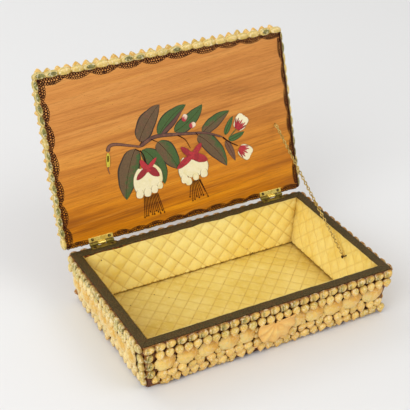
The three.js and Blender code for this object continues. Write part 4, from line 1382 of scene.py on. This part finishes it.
def stroke(finish, kind, points, width, level, tone=0.5, bend=0.0, crown=0.12, uneven=0.04):
    if finish not in strokes:
        strokes[finish] = shellMesh()
    bm = strokes[finish]
    before = len(bm.verts)
    steps = max(16, 6 * len(points))
    bmesh.ops.create_grid(bm, x_segments=8, y_segments=steps, size=0.5)
    bm.verts.ensure_lookup_table()
    where = bm.verts.layers.float_vector["where"]
    mark = bm.verts.layers.float["tone"]
    wobble = seeds.uniform(0, 50)
    for v in bm.verts[before:]:
        across, t = v.co.x * 2, min(1.0, max(0.0, v.co.y + 0.5))
        ahead = throughPoints(points, min(1, t + 0.01)) - throughPoints(points, max(0, t - 0.01))
        side = Vector((ahead.y, -ahead.x)).normalized()
        middle = throughPoints(points, t) + side * bend * 4 * t * (1 - t)
        half = width / 2 * outlines[kind](t) * (1 + uneven * noise.noise(Vector((wobble, t * 5, across))) * 3)
        flat = middle + side * across * half
        v.co = (flat.x, flat.y, level * 0.06 + crown * (1 - across * across) * min(1, 8 * t, 8 * (1 - t)))
        v[where] = Vector((across, t * 2 - 1, 0))
        v[mark] = tone


# leaves from the back forwards: paint, tone, stem end, tip, width, bend and level
leaves = [
    ("brown leaf", 0.4, (-38.7, 83), (-13, 113.5), 19, -2.6, 2),
    ("leaf", 0.1, (-18.5, 83.5), (14, 108), 15, -3.5, 2),
    ("leaf", 0.1, (-2, 85), (31, 105), 14.5, 2.6, 2),
    ("leaf", 0.55, (26.8, 77.5), (59, 93), 12.5, -1.0, 2),
    ("young leaf", 0.2, (51, 70.5), (62, 87), 6.2, -0.4, 2),
    ("young leaf", 0.1, (54, 64.7), (72.5, 69.5), 6.4, 0.6, 2),
    ("brown leaf", 0.8, (50.5, 64.7), (58.4, 43), 7.2, -0.6, 2),
    ("leaf", 0.65, (21.8, 76), (48.6, 40), 17, -3.4, 2),
    ("leaf", 0.5, (-20.8, 79), (-3, 48.5), 18.5, -1.6, 2),
    ("leaf", 0.05, (-37.5, 75), (-19.5, 37.5), 18, -5.0, 2),
    ("leaf", 0.6, (-43.7, 77.5), (-60.5, 31.5), 22, 3.2, 3),
]
# each open flower: its long petals, the petals' turned-down lips, and the red sepals over them
flowers = [
    {"petals": [[(-41, 57), (-45.2, 46), (-44.6, 33)], [(-37, 58), (-38, 45), (-36.5, 32)],
                [(-33, 58), (-30.2, 46), (-29.2, 34)]],
     "petalWidth": 12.8, "lipLean": 0.8, "sidePetals": [[(-32, 60), (-25.4, 51), (-24, 40)]],
     "lips": [((-46.6, 34.2), 8.6), ((-38.4, 34), 8.6), ((-31, 35.5), 8.0), ((-24.8, 37.5), 6.4)],
     "sepals": [([(-35, 57), (-47.8, 48)], 6.2), ([(-34.5, 57), (-24, 46.8)], 7.4),
                ([(-37.5, 53), (-24.5, 65)], 4.6), ([(-35, 54.5), (-41.6, 66)], 6.0),
                ([(-38, 59), (-31, 53)], 6.4)]},
    {"petals": [[(6, 57), (1.6, 48), (2, 37)], [(10, 57), (9.4, 47), (9, 37.5)],
                [(14, 57), (16, 47), (15, 37.5)], [(18, 57), (22.8, 49), (22.4, 37.5)]],
     "petalWidth": 11.0, "lipLean": 0.0, "sidePetals": [],
     "lips": [((1.5, 37.6), 8.6), ((5.4, 34.4), 7.6), ((13.6, 37.4), 7.4), ((22.6, 39), 8.8)],
     "sepals": [([(12, 58), (-5.2, 49.2)], 6.6), ([(12, 58.5), (28.5, 50.6)], 8.4),
                ([(12.4, 58), (2.0, 69)], 6.0), ([(13.5, 58), (24.2, 68.5)], 6.0),
                ([(9, 62), (16, 54.5)], 7.0)]},
]
twigs = [[(-44.2, 77), (-38, 72), (-36.2, 62)], [(-39.5, 75), (-36.5, 69), (-35.4, 61.5)],
         [(0.5, 81), (8, 75), (12.2, 65.5)], [(-36.5, 83), (-39, 80)], [(-27, 83), (-20.8, 79)],
         [(20, 79.5), (22, 76)]]


def openFlower(flower):
    for line in flower["petals"]:
        stroke("cream", "lobe", line, flower["petalWidth"], 9, 0.6)
    for line in flower["sidePetals"]:
        stroke("cream", "lobe", line, 8.0, 8, 0.4)
    for (x, y), width in flower["lips"]:
        line = [(x + flower["lipLean"], y + width / 2), (x - flower["lipLean"], y - width / 2)]
        stroke("cream", "petal", line, width, 11, near(0.6, 0.2))
    for line, width in flower["sepals"]:
        stroke("red", "sepal", line, width, 14, near(0.5, 0.3))


def paintSprig():
    for finish, tone, base, tip, width, bend, level in leaves:
        stroke(finish, "leaf", [base, tip], width, level, tone, bend)
        stroke("ink", "line", [base, tip], 0.6, level + 1, bend=bend, crown=0.13, uneven=0.02)
    stroke("stem", "leaf", [(-16, 85), (-3, 93), (10, 104.5)], 5.2, 5, 0.2)
    # stem, from the thick cut end on the left to the thin shoots on the right
    main = [(-40, 78.3), (-27, 83.6), (-17.8, 84.3), (-3.7, 82.6), (16.3, 79.4), (31.3, 76.6), (48, 69)]
    stroke("stem", "line", main, 4.4, 6, 0.4)
    cutEnd = [(-71.5, 80.5), (-69.5, 85), (-63.7, 86), (-52, 82.6), (-38, 78)]
    stroke("stem", "line", cutEnd, 4.0, 7, 0.6, uneven=0.02)
    stroke("ink", "line", [(48, 69), (51.3, 65.5), (57, 61), (63.4, 57)], 1.7, 7)
    stroke("young leaf", "line", [(54, 66), (60, 71), (65, 74.5)], 1.2, 6, 0.3)
    for points in twigs:
        stroke("ink", "line", points, 1.0, 8, crown=0.05)
    # seed pod, open in the middle, and its tail
    stroke("pod", "petal", [(-71.5, 79.5), (-73.6, 66)], 4.4, 8)
    stroke("ink", "petal", [(-72, 77.4), (-73, 71)], 1.7, 11, crown=0.02)
    stroke("stem", "line", [(-73.4, 67), (-74, 64), (-73, 59.5)], 1.1, 8)
    # buds
    for x, y, turned in ((10.5, 95.8, 60), (17.6, 87.3, 10)):
        flower = turnAbout("Z", turned)
        tip, foot = flower @ Vector((3.6, 0, 0)), flower @ Vector((-3.6, 0, 0))
        stroke("blush", "petal", [(x + foot.x, y + foot.y), (x + tip.x, y + tip.y)], 6.2, 6, 0.55)
    bud((69.5, 79.3), 48, 15.2, 13.5)
    bud((70.4, 49.6), -38, 15.2, 13.0)
    for flower in flowers:
        openFlower(flower)
    # stamens, thin lines with a dark end
    stamens(-42.6, -28.6, 31, -45.2, -24.4, 10.5, 11)
    stamens(7.4, 17.4, 34, 4.4, 23.6, 14.5, 9)


def bud(place, turned, length, width):
    ahead = Vector((math.cos(math.radians(turned)), math.sin(math.radians(turned))))
    side = Vector((-ahead.y, ahead.x))
    middle = Vector(place)
    for shift in (-0.26, 0.26, 0.0):
        foot = middle - ahead * length / 2 + side * shift * width * 0.6
        tip = middle + ahead * length / 2 + side * shift * width
        stroke("cream", "petal", [tuple(foot), tuple(tip)], width * 0.72, 6 + abs(shift) * 4, 0.7)
    for i in range(7):
        shift = (i - 3) / 3
        foot = middle - ahead * length * 0.52 + side * shift * width * 0.16
        forward = length * (0.08 + 0.14 * (i % 2)) * (1 - 0.3 * abs(shift))
        tip = middle + ahead * forward + side * shift * width * 0.5
        stroke("red", "sepal", [tuple(foot), tuple(tip)], 1.7, 12, near(0.5, 0.3))


def stamens(left, right, top, footLeft, footRight, foot, count):
    for i in range(count):
        t = i / (count - 1)
        start = (left + (right - left) * t, top)
        end = (footLeft + (footRight - footLeft) * t, near(foot + 3.5, 3.5))
        stroke("ink", "line", [start, end], 0.85, 6, crown=0.03, uneven=0)
        stroke("ink", "petal", [(end[0], end[1] + 0.9), (end[0], end[1] - 0.9)], 1.3, 7, crown=0.05)


def sprigPieces():
    paintSprig()
    for finish, bm in strokes.items():
        bmesh.ops.transform(bm, matrix=lidInside(), verts=bm.verts[:])
        addPiece("sprig_" + finish.replace(" ", "_"), bm, finish, "lid")


sprigPieces()
print("sprig painted")

# pale studio: one floor, a large soft light from the left, weaker ones from the right and behind
studio = {"world": 0.67, "floor": "e6e6e6"}


def floorPiece():
    bm = bmesh.new()
    bmesh.ops.create_grid(bm, x_segments=1, y_segments=1, size=6)
    mesh = bpy.data.meshes.new("floor")
    bm.to_mesh(mesh)
    bm.free()
    g = Graph("pale floor")
    mesh.materials.append(g.surface(Base_Color=rgb(studio["floor"]), Roughness=0.85))
    floor = bpy.data.objects.new("floor", mesh)
    bpy.context.collection.objects.link(floor)


def softLight(name, place, target, size, power, colour):
    light = bpy.data.lights.new(name, "AREA")
    light.shape = "DISK"
    light.size = size
    light.energy = power
    light.color = colour
    lamp = bpy.data.objects.new(name, light)
    bpy.context.collection.objects.link(lamp)
    lamp.location = place
    lamp.rotation_mode = "QUATERNION"
    lamp.rotation_quaternion = (Vector(target) - Vector(place)).to_track_quat("-Z", "Y")


floorPiece()
softLight("right light", (0.9, -1.1, 1.7), (0, 0, 0.05), 1.3, 9, (1.0, 0.985, 0.96))
softLight("left light", (-1.6, -0.75, 1.2), (0, 0, 0.05), 1.6, 19, (0.98, 0.99, 1.0))
softLight("back light", (-0.5, 1.6, 1.5), (0, 0.3, 0), 1.6, 8.5, (1.0, 1.0, 1.0))
world = bpy.data.worlds.new("studio")
world.use_nodes = True
world.node_tree.nodes["Background"].inputs["Color"].default_value = (1.0, 0.995, 0.985, 1)
world.node_tree.nodes["Background"].inputs["Strength"].default_value = studio["world"]
bpy.context.scene.world = world
bpy.context.scene.view_settings.view_transform = "Standard"
